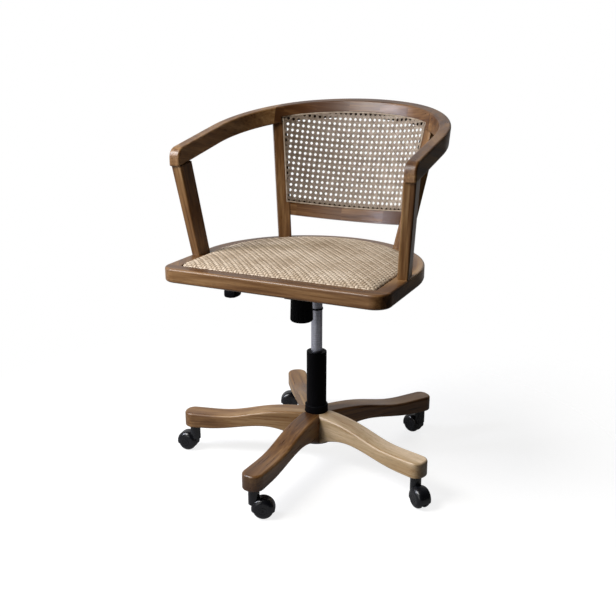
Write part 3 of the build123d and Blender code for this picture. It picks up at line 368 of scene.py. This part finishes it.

# Twin-wheel casters: glass-filled nylon hoods and wheels, black and satin from the mould,
# the wheels a touch paler than the hoods. Stems and axles are chemically blackened steel.
hood_black = pebbled_coat(
    "hood_black", 0.0016, (0.003, 0.0032, 0.005), (0.007, 0.0075, 0.010), 0.22, 0.34, 0.5, 0.06)
wheel_black = pebbled_coat(
    "wheel_black", 0.0018, (0.0035, 0.0037, 0.0055), (0.009, 0.0095, 0.012), 0.24, 0.36, 0.5, 0.08)
oxide_black = pebbled_coat(
    "oxide_black", 0.0009, (0.006, 0.006, 0.007), (0.014, 0.014, 0.015), 0.40, 0.55, 0.3, 0.1)
for number in range(1, 6):
    dress("caster_%d_hood" % number, hood_black)
    dress("caster_%d_stem" % number, oxide_black)
    for side in ("left", "right"):
        dress("caster_%d_wheel_%s" % (number, side), wheel_black)

# Seat frame and board: a walnut front rail and steamed sides and back, rounded over on both
# edges; a birch plywood board, sealed but unstained, is screwed up into its rabbet.
seat_top = 0.539
seat_round_y = -0.057
front_rail_y = -0.2295


def reach_of(tree, first, second):
    squares = sum_of(tree, "MULTIPLY", first, first), sum_of(tree, "MULTIPLY", second, second)
    return sum_of(tree, "SQRT", sum_of(tree, "ADD", *squares))


def frame_lay(tree):
    place = put(tree, "ShaderNodeTexCoord").outputs["Object"]
    x, y, z = put(tree, "ShaderNodeSeparateXYZ", {0: place}).outputs
    behind = sum_of(tree, "SUBTRACT", y, seat_round_y)
    turned = sum_of(tree, "MULTIPLY", sum_of(tree, "ARCTAN2", x, behind), 0.27)
    reach = reach_of(tree, x, behind)
    back = put(tree, "ShaderNodeCombineXYZ", {0: turned, 1: reach, 2: z}).outputs[0]
    front = put(tree, "ShaderNodeCombineXYZ", {0: sum_of(tree, "ADD", x, 3.1), 1: y, 2: z}).outputs[0]
    in_front = sum_of(tree, "LESS_THAN", y, front_rail_y)
    chosen = put(tree, "ShaderNodeMix", {0: in_front, 4: back, 5: front}, data_type="VECTOR")
    return chosen.outputs[1]


dress("seat_frame", walnut_coat("seat_frame_walnut", frame_lay, -0.06))

birch_ply, tree, shader = coat("birch_ply", 0.6, 0.25)
place = put(tree, "ShaderNodeTexCoord").outputs["Object"]
veneer_space = spread(tree, place, (3, 40, 900))
veneer = noise(tree, veneer_space, 1.0, 5.0, Distortion=0.5)
tree.links.new(
    ramp(tree, veneer, [(0.3, (0.32, 0.22, 0.13)), (0.7, (0.52, 0.40, 0.26))]), shader.inputs["Base Color"])
emboss(tree, shader, veneer, 0.1, 0.0004)
dress("seat_board", birch_ply)

# Seat pad: a domed foam and board core covered with split rattan, woven over two and under
# two so that the floats step along diagonals. It drops into the frame and stands a little proud.
pad_half = 0.2388
pad_front = -0.2283
pad_corner = 0.012
pad_foot = 0.5185
strip = 0.0066
strip_relief = 0.0014
crown_reach = (0, 1.73, 3.74, 6.71, 10.0, 12.04, 15.4)
crown_rise = (-5.0, 2.1, 6.3, 10.5, 13.0, 13.9, 14.2)


def depth_in_pad(x, y):
    round_back = pad_half - np.hypot(x, y - seat_round_y)
    side = pad_half - np.abs(x)
    fore = y - pad_front
    ease = 0.02
    share = np.clip(0.5 + 0.5 * (fore - side) / ease, 0, 1)
    square = fore * (1 - share) + side * share - ease * share * (1 - share)
    inner_x = np.abs(x) - (pad_half - pad_corner)
    inner_y = pad_front + pad_corner - y
    corner = pad_corner - np.hypot(inner_x, inner_y)
    square = np.where((inner_x > 0) & (inner_y > 0), np.minimum(square, corner), square)
    return np.where(y > seat_round_y, round_back, square)


crown_curve = np.polyfit(crown_reach, crown_rise, 5)


def woven_height(x, y):
    deep = np.clip(depth_in_pad(x, y), 0, 0.237) * 1000
    dome = np.polyval(crown_curve, np.sqrt(deep)) / 1000
    column, row = np.floor(x / strip), np.floor(y / strip)
    step = np.mod(column + row, 4)
    on_x, on_y = x / strip - column, y / strip - row
    crossways = step < 2
    run = np.where(crossways, (step + on_x) / 2, (step - 2 + on_y) / 2)
    across = np.where(crossways, on_y, on_x)
    relief = np.sin(pi * run) ** 0.7 * (1 - 0.7 * (2 * across - 1) ** 2)
    return seat_top + dome + strip_relief * (relief - 1)


cell = strip / 6
grid_half = 0.242
grid_front = -0.231
grid_back = 0.184
columns = int(grid_half / cell)
xs = (np.arange(-columns, columns) + 0.5) * cell
ys = (np.arange(int(grid_front / cell), int(grid_back / cell)) + 0.5) * cell
grid_x, grid_y = np.meshgrid(xs, ys)
nudge = 1e-5
for repeat in range(3):
    short = np.minimum(depth_in_pad(grid_x, grid_y), 0)
    lean_x = (depth_in_pad(grid_x + nudge, grid_y) - depth_in_pad(grid_x - nudge, grid_y)) / (2 * nudge)
    lean_y = (depth_in_pad(grid_x, grid_y + nudge) - depth_in_pad(grid_x, grid_y - nudge)) / (2 * nudge)
    near = short > -1.5 * cell
    grid_x = np.where(near, grid_x - short * lean_x, grid_x)
    grid_y = np.where(near, grid_y - short * lean_y, grid_y)
inside = depth_in_pad(grid_x, grid_y) > -1e-5
grid_z = woven_height(grid_x, grid_y)
pad_index = np.where(inside, np.cumsum(inside).reshape(inside.shape) - 1, -1)
pad_points = np.stack([grid_x[inside], grid_y[inside], grid_z[inside]], axis=1)
corners = [pad_index[:-1, :-1], pad_index[:-1, 1:], pad_index[1:, 1:], pad_index[1:, :-1]]
squares = np.stack(corners, axis=-1).reshape(-1, 4)
squares = squares[(squares >= 0).all(axis=1)]
pairs = np.concatenate([squares[:, [k, (k + 1) % 4]] for k in range(4)])
known = set(map(tuple, pairs.tolist()))
rim = [pair for pair in known if (pair[1], pair[0]) not in known]
follow = dict(rim)
loop = [rim[0][0]]
while follow[loop[-1]] != loop[0]:
    loop.append(follow[loop[-1]])
faces = squares.tolist()
points = pad_points.tolist()
upper = loop
pad_middle_y = -0.03
least_side = 0.002
for drop, draw in ((0.008, 1.0), (0.018, 0.996), (None, 0.991)):
    lower = []
    for spot in loop:
        x, y, z = pad_points[spot]
        level = pad_foot if drop is None else max(z - drop, pad_foot + least_side)
        points.append((x * draw, (y - pad_middle_y) * draw + pad_middle_y, level))
        lower.append(len(points) - 1)
    for k in range(len(loop)):
        n = (k + 1) % len(loop)
        faces.append((upper[n], upper[k], lower[k], lower[n]))
    upper = lower
faces.append(tuple(reversed(upper)))
used = sorted({spot for face in faces for spot in face})
renumber = {spot: place for place, spot in enumerate(used)}
points = [points[spot] for spot in used]
faces = [[renumber[spot] for spot in face] for face in faces]

twill, twill_in, twill_out = effect(
    "rattan_twill",
    [("Strip", "NodeSocketFloat", strip)],
    [("Crest", "NodeSocketFloat"), ("Strand", "NodeSocketFloat"), ("Crossways", "NodeSocketFloat")],
)
tree = twill
place = put(tree, "ShaderNodeTexCoord").outputs["Object"]
x, y, z = put(tree, "ShaderNodeSeparateXYZ", {0: place}).outputs
x = sum_of(tree, "DIVIDE", x, twill_in["Strip"])
y = sum_of(tree, "DIVIDE", y, twill_in["Strip"])
column, row = sum_of(tree, "FLOOR", x), sum_of(tree, "FLOOR", y)
on_x, on_y = sum_of(tree, "SUBTRACT", x, column), sum_of(tree, "SUBTRACT", y, row)
step = sum_of(tree, "FLOORED_MODULO", sum_of(tree, "ADD", column, row), 4.0)
crossways = sum_of(tree, "LESS_THAN", step, 2.0)


def either(tree, share, first, second):
    return put(tree, "ShaderNodeMix", {0: share, 2: second, 3: first}, data_type="FLOAT").outputs[0]


run_x = sum_of(tree, "MULTIPLY", sum_of(tree, "ADD", step, on_x), 0.5)
run_y = sum_of(tree, "MULTIPLY", sum_of(tree, "ADD", sum_of(tree, "SUBTRACT", step, 2.0), on_y), 0.5)
run = either(tree, crossways, run_x, run_y)
across = either(tree, crossways, on_y, on_x)
arch = sum_of(tree, "POWER", sum_of(tree, "SINE", sum_of(tree, "MULTIPLY", run, pi)), 0.6)
bow = sum_of(tree, "MULTIPLY_ADD", across, 2.0, -1.0)
bow = sum_of(tree, "SUBTRACT", 1.0, sum_of(tree, "MULTIPLY", sum_of(tree, "MULTIPLY", bow, bow), 0.75))
tree.links.new(sum_of(tree, "MULTIPLY", arch, bow), twill_out["Crest"])
strand = either(tree, crossways, row, sum_of(tree, "ADD", column, 700.0))
chance = put(tree, "ShaderNodeTexWhiteNoise", {"W": strand}, noise_dimensions="1D").outputs["Value"]
tree.links.new(chance, twill_out["Strand"])
tree.links.new(crossways, twill_out["Crossways"])

split_rattan, tree, shader = coat("split_rattan", 0.55, 0.25)
weave = put(tree, "ShaderNodeGroup", node_tree=twill).outputs
place = put(tree, "ShaderNodeTexCoord").outputs["Object"]
ageing = noise(tree, place, 9.0, 4.0)
shade = sum_of(tree, "MULTIPLY_ADD", weave["Strand"], 0.25, sum_of(tree, "MULTIPLY", ageing, 0.9))
bark = ramp(
    tree, shade, [(0.30, (0.40, 0.30, 0.20)), (0.85, (0.76, 0.64, 0.50)), (0.55, (0.56, 0.445, 0.32))])
bark = tint(tree, sum_of(tree, "MULTIPLY", weave["Crossways"], 0.25), bark, (0.70, 0.58, 0.44, 1))
# Painted shade: the strands are darkened where the weave dips, in the hollows between and under the floats.
hollow_painted_shade = stretch(tree, weave["Crest"], 0.12, 0.72, 1.0, 0.0)
bark = tint(tree, sum_of(tree, "MULTIPLY", hollow_painted_shade, 0.82), bark, (0.11, 0.066, 0.034, 1))
tree.links.new(bark, shader.inputs["Base Color"])
tree.links.new(stretch(tree, weave["Crest"], 0.0, 1.0, 0.75, 0.46), shader.inputs["Roughness"])
emboss(tree, shader, weave["Crest"], 0.35, 0.0008)
woven_pad = shell("woven_pad", points, faces, split_rattan)
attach(woven_pad, "seat")
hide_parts("seat_pad")

# Front posts and back stiles: walnut, planed, eased on the long edges and tenoned into the
# seat and the rail. The grain runs up each piece, along its lean.
post_lean = (0.0205, -0.0353, 0.214)
stile_lean = (0.147, 0.287, 0.958)


def upright_lay(lean, start):
    level = hypot(lean[0], lean[1])
    turn_up = atan2(lean[2], level)
    turn_round = atan2(lean[1], lean[0])

    def lay(tree):
        place = put(tree, "ShaderNodeTexCoord").outputs["Object"]
        feeds = {"Vector": place, "Angle": -turn_round}
        flat = put(tree, "ShaderNodeVectorRotate", feeds, rotation_type="Z_AXIS").outputs[0]
        feeds = {"Vector": flat, "Angle": turn_up}
        tipped = put(tree, "ShaderNodeVectorRotate", feeds, rotation_type="Y_AXIS").outputs[0]
        return put(tree, "ShaderNodeVectorMath", {0: tipped, 1: start}, operation="ADD").outputs[0]
    return lay


for name, lean, side, tone in (
    ("arm_post_left", post_lean, -1, -0.11), ("arm_post_right", post_lean, 1, -0.06),
    ("back_stile_left", stile_lean, -1, -0.09), ("back_stile_right", stile_lean, 1, -0.05),
):
    lay = upright_lay((side * lean[0], lean[1], lean[2]), (0.3 * side, 0.7, 0.1 * side))
    dress(name, walnut_coat(name + "_walnut", lay, tone))

# Horseshoe rail and lower back rail: laminated walnut bent to the back's curve. Short staves
# scarfed end to end make up the crest, so its tone steps a little from one to the next.
back_lean = radians(16.7)
back_foot = 0.1724
back_radius = 0.360


def bent_lay(start):
    def lay(tree):
        place = put(tree, "ShaderNodeTexCoord").outputs["Object"]
        feeds = {"Vector": place, "Location": (0, back_radius - back_foot, -seat_top)}
        place = put(tree, "ShaderNodeMapping", feeds).outputs[0]
        feeds = {"Vector": place, "Center": (0, back_radius, 0), "Angle": back_lean}
        place = put(tree, "ShaderNodeVectorRotate", feeds, rotation_type="X_AXIS").outputs[0]
        x, y, z = put(tree, "ShaderNodeSeparateXYZ", {0: place}).outputs
        turned = sum_of(tree, "MULTIPLY", sum_of(tree, "ARCTAN2", x, y), back_radius)
        feeds = {0: sum_of(tree, "ADD", turned, start), 1: reach_of(tree, x, y), 2: z}
        return put(tree, "ShaderNodeCombineXYZ", feeds).outputs[0]
    return lay


dress("crest_rail", walnut_coat("crest_walnut", bent_lay(0.0), -0.22, (0.085, 0.04, 0.4)))
dress("lower_back_rail", walnut_coat("lower_rail_walnut", bent_lay(2.0), -0.14, (0.12, 0.05, 0.5)))
# Painted light: the left arm has a lighter tone than the right, standing in for the light bounced on to its
# inner side.
for side, name, tone in ((-1, "arm_left", -0.06), (1, "arm_right", -0.13)):
    dress(name, walnut_coat(
        name + "_walnut", straight_lay((radians(11.3), 0, radians(90)), (0.6 * side, 1.3, 0.4 * side)), tone))

# Cane panel: six-way webbing of split cane, pairs up and across with single diagonals through
# them. It is wetted, pressed into the groove and drawn tight as it dries.
mesh_step = 0.0135
mesh_rise = 0.0140
cane_width = 0.0032
cane_half_gap = 0.0017
cane_thick = 0.00055
window_low = 0.0845
window_side = 0.1475
window_splay = 0.151
rail_slope = radians(11.31)
crest_height = 0.8823
crest_y = back_foot + (crest_height - seat_top) * sin(back_lean) / cos(back_lean)
window_below_crest = 0.0259


def turned_at(half_width):
    return back_radius * np.arcsin(half_width / back_radius)


def on_back(turned, height, proud):
    angle = turned / back_radius
    reach = back_radius - proud
    inward = reach * cos(angle) - back_radius
    return Vector((
        reach * sin(angle),
        back_foot + inward * cos(back_lean) + height * sin(back_lean),
        seat_top - inward * sin(back_lean) + height * cos(back_lean),
    ))


def window_top(turned):
    spot = on_back(turned, 0, 0)
    above = (crest_y - spot.y) * -sin(rail_slope) + (crest_height - spot.z) * cos(rail_slope)
    return (above - window_below_crest) / cos(rail_slope + back_lean)


def in_window(turned, height):
    half = window_side + window_splay * height
    sideways = abs(back_radius * sin(turned / back_radius))
    return window_low <= height <= window_top(turned) and sideways <= half


def cane_strand(points, faces, route, width):
    first = len(points)
    for k, (turned, height, proud) in enumerate(route):
        before, after = route[max(k - 1, 0)], route[min(k + 1, len(route) - 1)]
        go = Vector((after[0] - before[0], after[1] - before[1])).normalized() * (width / 2)
        points.append(on_back(turned - go.y, height + go.x, proud))
        points.append(on_back(turned, height, proud + cane_thick * 0.6))
        points.append(on_back(turned + go.y, height - go.x, proud))
        points.append(on_back(turned, height, proud - cane_thick * 0.4))
        if k:
            start = first + 4 * (k - 1)
            for c in range(4):
                n = (c + 1) % 4
                faces.append((start + c, start + n, start + 4 + n, start + 4 + c))
    last = first + 4 * (len(route) - 1)
    faces.append((first + 3, first + 2, first + 1, first))
    faces.append((last, last + 1, last + 2, last + 3))


cane_points, cane_faces = [], []
mid_height = 0.2125
steps = 4
reach_steps = 17 * steps
up_proud = 0.0007
across_proud = 0.00085
slant_proud = 0.0010
pair_wave = 0.00022
slant_wave = 0.0003


def weave_cane(start, way, lift):
    route = []
    for k in range(-reach_steps, reach_steps + 1):
        turned = start[0] + way[0] * k * mesh_step / steps
        height = start[1] + way[1] * k * mesh_rise / steps
        if in_window(turned, height):
            route.append((turned, height, lift(k)))
    if len(route) > 3:
        cane_strand(cane_points, cane_faces, route, cane_width)


for number in range(-15, 16):
    for side in (-1, 1):
        start = ((number + 0.5) * mesh_step + side * cane_half_gap, mid_height)
        weave_cane(start, (0, 1), lambda k, s=side: up_proud + pair_wave * s * cos(pi * k / steps * 2))
for number in range(-11, 12):
    for side in (-1, 1):
        start = (0, mid_height + (number + 0.5) * mesh_rise + side * cane_half_gap)
        weave_cane(start, (1, 0), lambda k, s=side: across_proud - pair_wave * s * cos(pi * k / steps * 2))
for number in range(-26, 27):
    for way in (-1, 1):
        start = ((number + 0.5) * mesh_step, mid_height)
        weave_cane(start, (way, 1), lambda k, w=way: slant_proud + slant_wave * w * cos(pi * k / steps))

split_cane, tree, shader = coat("split_cane", 0.42, 0.35)
strand = put(tree, "ShaderNodeNewGeometry").outputs["Random Per Island"]
place = put(tree, "ShaderNodeTexCoord").outputs["Object"]
mottle = noise(tree, place, 65.0, 5.0, Roughness=0.65)
streak_space = spread(tree, place, (700, 700, 160))
streak = noise(tree, streak_space, 1.0, 2.0)
shade = sum_of(tree, "MULTIPLY_ADD", strand, 0.3, sum_of(tree, "MULTIPLY", mottle, 0.8))
shade = sum_of(tree, "MULTIPLY_ADD", streak, 0.2, shade)
skin = ramp(
    tree, shade, [(0.35, (0.165, 0.116, 0.078)), (0.95, (0.58, 0.49, 0.40)), (0.65, (0.35, 0.275, 0.205))])
# Painted light and shade: the strands darken towards the chair's left (-X), standing in for the sheen the
# lamps put on the right half of the panel.
sideways = put(tree, "ShaderNodeSeparateXYZ", {0: place}).outputs[0]
left_painted_shade = stretch(tree, sideways, -0.18, 0.10, 0.68, 0.0)
skin = tint(tree, left_painted_shade, skin, (0.075, 0.045, 0.022, 1))
tree.links.new(skin, shader.inputs["Base Color"])
tree.links.new(stretch(tree, mottle, 0.3, 0.7, 0.34, 0.5), shader.inputs["Roughness"])
emboss(tree, shader, streak, 0.15, 0.0003)
cane_panel = shell("cane_panel", cane_points, cane_faces, split_cane)
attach(cane_panel, "seat")
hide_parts("back_cane")

# Rabbet shade sheet: painted shade, a thin dark sheet on the frame's face under the cane's border,
# standing in for the shadow in the groove behind the webbing, so that the outer rows of holes look black.
shade_sheet_edge = 0.0005
shade_sheet_below = 0.0085
shade_sheet_beside = 0.0066
shade_sheet_above = 0.0135
shade_sheet_lift = 0.0001
shade_sheet_side_height = 0.252
shade_sheet_top_half = 0.201
shade_sheet_points, shade_sheet_faces = [], []


def shade_sheet_strip(rows):
    first = len(shade_sheet_points)
    for outer, inner in rows:
        shade_sheet_points.append(on_back(*outer, shade_sheet_lift))
        shade_sheet_points.append(on_back(*inner, shade_sheet_lift))
    for k in range(len(rows) - 1):
        a = first + 2 * k
        shade_sheet_faces.append((a, a + 1, a + 3, a + 2))


rows = []
for k in range(49):
    share = -1 + 2 * k / 48
    ends = []
    for inset in (shade_sheet_edge, shade_sheet_below):
        low = window_low + inset
        ends.append((turned_at(window_side - inset + window_splay * low) * share, low))
    rows.append(ends)
shade_sheet_strip(rows)
for hand in (-1, 1):
    rows = []
    for k in range(31):
        height = window_low + shade_sheet_side_height * k / 30
        ends = []
        for inset in (shade_sheet_edge, shade_sheet_beside):
            ends.append((hand * turned_at(window_side - inset + window_splay * height), height))
        if ends[0][1] < window_top(ends[0][0]):
            rows.append(ends if hand > 0 else ends[::-1])
    shade_sheet_strip(rows)
rows = []
for k in range(61):
    turned = -shade_sheet_top_half + 2 * shade_sheet_top_half * k / 60
    top = window_top(turned)
    rows.append(((turned, top - shade_sheet_above), (turned, top - shade_sheet_edge)))
shade_sheet_strip(rows)
# Painted shade: a near-black colour with a faint mottle, for the sheet behind the cane's border.
rabbet_painted_shade, tree, shader = coat("rabbet_painted_shade", 0.7, 0.05)
place = put(tree, "ShaderNodeTexCoord").outputs["Object"]
shade_sheet_mottle = noise(tree, place, 140.0, 4.0)
shade_sheet_colour = ramp(tree, shade_sheet_mottle, [(0.35, (0.006, 0.004, 0.003)), (0.7, (0.022, 0.014, 0.009))])
tree.links.new(shade_sheet_colour, shader.inputs["Base Color"])
rabbet_shade_sheet = shell("rabbet_shade_sheet", shade_sheet_points, shade_sheet_faces, rabbet_painted_shade, smooth=False)
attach(rabbet_shade_sheet, "seat")

# Cane bead: a half-round reed spline, glued and tapped into the groove over the cane's edge,
# mitred at the four corners. Paler than the webbing.
bead_half = 0.0020
bead_proud = 0.0017
bead_root = 0.0016
bead_route = []
bottom_half = turned_at(window_side + window_splay * window_low)
for k in range(41):
    bead_route.append((-bottom_half + 2 * bottom_half * k / 40, window_low))
side_top = 0.33
while True:
    better = window_top(turned_at(window_side + window_splay * side_top))
    if abs(better - side_top) < 1e-6:
        break
    side_top = better
for k in range(1, 31):
    height = window_low + (side_top - window_low) * k / 30
    bead_route.append((turned_at(window_side + window_splay * height), height))
top_half = bead_route[-1][0]
for k in range(1, 61):
    turned = top_half - 2 * top_half * k / 60
    bead_route.append((turned, window_top(turned)))
for k in range(1, 30):
    height = side_top + (window_low - side_top) * k / 30
    bead_route.append((-turned_at(window_side + window_splay * height), height))
bead_section = [(bead_half * cos(pi * k / 8), bead_proud * sin(pi * k / 8)) for k in range(9)]
bead_section += [(-bead_half * 0.9, -bead_root), (bead_half * 0.9, -bead_root)]
bead_points, bead_faces = [], []
ring = len(bead_section)
count = len(bead_route)
for k, (turned, height) in enumerate(bead_route):
    far = (k + 1) % count
    into = Vector((turned - bead_route[k - 1][0], height - bead_route[k - 1][1])).normalized()
    out = Vector((bead_route[far][0] - turned, bead_route[far][1] - height)).normalized()
    mid = (into + out).normalized()
    widen = 1 / max(mid.dot(into), 0.5)
    for across, proud in bead_section:
        shift = across * widen
        bead_points.append(on_back(turned - mid.y * shift, height + mid.x * shift, proud))
    for c in range(ring):
        n = (c + 1) % ring
        bead_faces.append((k * ring + c, k * ring + n, far * ring + n, far * ring + c))

reed, tree, shader = coat("reed_bead", 0.45, 0.35)
place = put(tree, "ShaderNodeTexCoord").outputs["Object"]
vein = noise(tree, place, 90.0, 6.0, Roughness=0.7)
peel = ramp(tree, vein, [(0.32, (0.20, 0.14, 0.09)), (0.68, (0.46, 0.37, 0.28))])
tree.links.new(peel, shader.inputs["Base Color"])
tree.links.new(stretch(tree, vein, 0.3, 0.7, 0.38, 0.55), shader.inputs["Roughness"])
emboss(tree, shader, vein, 0.2, 0.0003)
cane_bead = shell("cane_bead", bead_points, bead_faces, reed)
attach(cane_bead, "seat")
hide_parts("cane_spline")

# Studio: a pale floor that fades into a white surround, a soft box high on the viewer's left, a
# tall cool window lower on that side, a weak fill, a soft light behind for the back, and the camera.
floor_reach = 1.5
floor_mesh = bpy.data.meshes.new("studio_floor")
floor_ring = [(floor_reach * cos(pi * k / 48), floor_reach * sin(pi * k / 48), 0) for k in range(96)]
floor_mesh.from_pydata(floor_ring, [], [tuple(range(96))])
studio_floor = bpy.data.objects.new("studio_floor", floor_mesh)
bpy.context.collection.objects.link(studio_floor)
floor_paper = bpy.data.materials.new("floor_paper")
floor_paper.use_nodes = True
tree = floor_paper.node_tree
tree.nodes.clear()
seen = put(tree, "ShaderNodeLightPath").outputs
mirrored = sum_of(tree, "MAXIMUM", seen["Is Glossy Ray"], seen["Is Transmission Ray"])
shown = sum_of(tree, "MAXIMUM", seen["Is Camera Ray"], sum_of(tree, "MULTIPLY", mirrored, 0.08))
paper = put(tree, "ShaderNodeBsdfDiffuse", {"Color": (0.27, 0.27, 0.27, 1)}).outputs[0]
glow_strength = sum_of(tree, "MULTIPLY", shown, 0.80)
glow = put(tree, "ShaderNodeEmission", {"Color": (1, 1, 1, 1), "Strength": glow_strength}).outputs[0]
lit = put(tree, "ShaderNodeAddShader", {0: paper, 1: glow}).outputs[0]
place = put(tree, "ShaderNodeTexCoord").outputs["Object"]
far = put(tree, "ShaderNodeVectorMath", {0: place}, operation="LENGTH").outputs["Value"]
fade = stretch(tree, far, 0.55, 1.15, 1.0, 0.0)
clear = put(tree, "ShaderNodeBsdfTransparent").outputs[0]
whole = put(tree, "ShaderNodeMixShader", {0: fade, 1: clear, 2: lit}).outputs[0]
put(tree, "ShaderNodeOutputMaterial", {"Surface": whole})
floor_mesh.materials.append(floor_paper)

scene = bpy.context.scene
scene.view_settings.view_transform = "Standard"
world = bpy.data.worlds.new("white_surround")
scene.world = world
world.use_nodes = True
tree = world.node_tree
tree.nodes.clear()
seen = put(tree, "ShaderNodeLightPath").outputs
mirrored = sum_of(tree, "MAXIMUM", seen["Is Glossy Ray"], seen["Is Transmission Ray"])
way = put(tree, "ShaderNodeTexCoord").outputs["Generated"]
rightward, backward = put(tree, "ShaderNodeSeparateXYZ", {0: way}).outputs[:2]
behind = stretch(tree, rightward, -0.25, 0.25, 0.6, 0.02)
behind = sum_of(tree, "MULTIPLY", behind, stretch(tree, backward, -0.5, 0.5, 0.35, 1.0))
shown = sum_of(tree, "MAXIMUM", seen["Is Camera Ray"], sum_of(tree, "MULTIPLY", mirrored, behind))
leftness = stretch(tree, rightward, -0.3, 0.45, 1.0, 0.18)
ambient = tint(tree, leftness, (0, 0, 0, 1), (0.092, 0.087, 0.080, 1))
surround = tint(tree, shown, ambient, (1, 1, 1, 1))
back = put(tree, "ShaderNodeBackground", {"Color": surround, "Strength": 1.0}).outputs[0]
put(tree, "ShaderNodeOutputWorld", {"Surface": back})

aim = Vector((0, 0, 0.45))
for name, spot, wide, tall, power, colour in (
    ("key_box", (-1.25, -1.75, 2.75), 1.3, 1.3, 94, (1, 0.99, 0.97)),
    ("window_box", (-1.75, -1.15, 1.55), 0.40, 1.4, 38, (0.82, 0.86, 1.0)),
    ("fill_box", (-0.6, -2.8, 1.0), 1.6, 1.6, 9, (1, 1, 1)),
    ("back_box", (0.2, 2.7, 1.5), 2.6, 1.8, 40, (1, 1, 1)),
):
    lamp = bpy.data.lights.new(name, "AREA")
    lamp.shape = "ELLIPSE"
    lamp.size = wide
    lamp.size_y = tall
    lamp.energy = power
    lamp.color = colour
    box = bpy.data.objects.new(name, lamp)
    box.location = spot
    box.rotation_euler = (aim - Vector(spot)).to_track_quat("-Z", "Y").to_euler()
    box.visible_glossy = name != "back_box"
    bpy.context.collection.objects.link(box)

view_turn = radians(25.494)
view_drop = radians(17.363)
lens = bpy.data.cameras.new("photo_view")
lens.sensor_width = 36
lens.lens = 49.52
camera = bpy.data.objects.new("photo_view", lens)
camera.location = (0.83202, -1.79489, 1.02386)
look = Vector((-sin(view_turn) * cos(view_drop), cos(view_turn) * cos(view_drop), -sin(view_drop)))
camera.rotation_euler = look.to_track_quat("-Z", "Y").to_euler()
bpy.context.collection.objects.link(camera)
scene.camera = camera
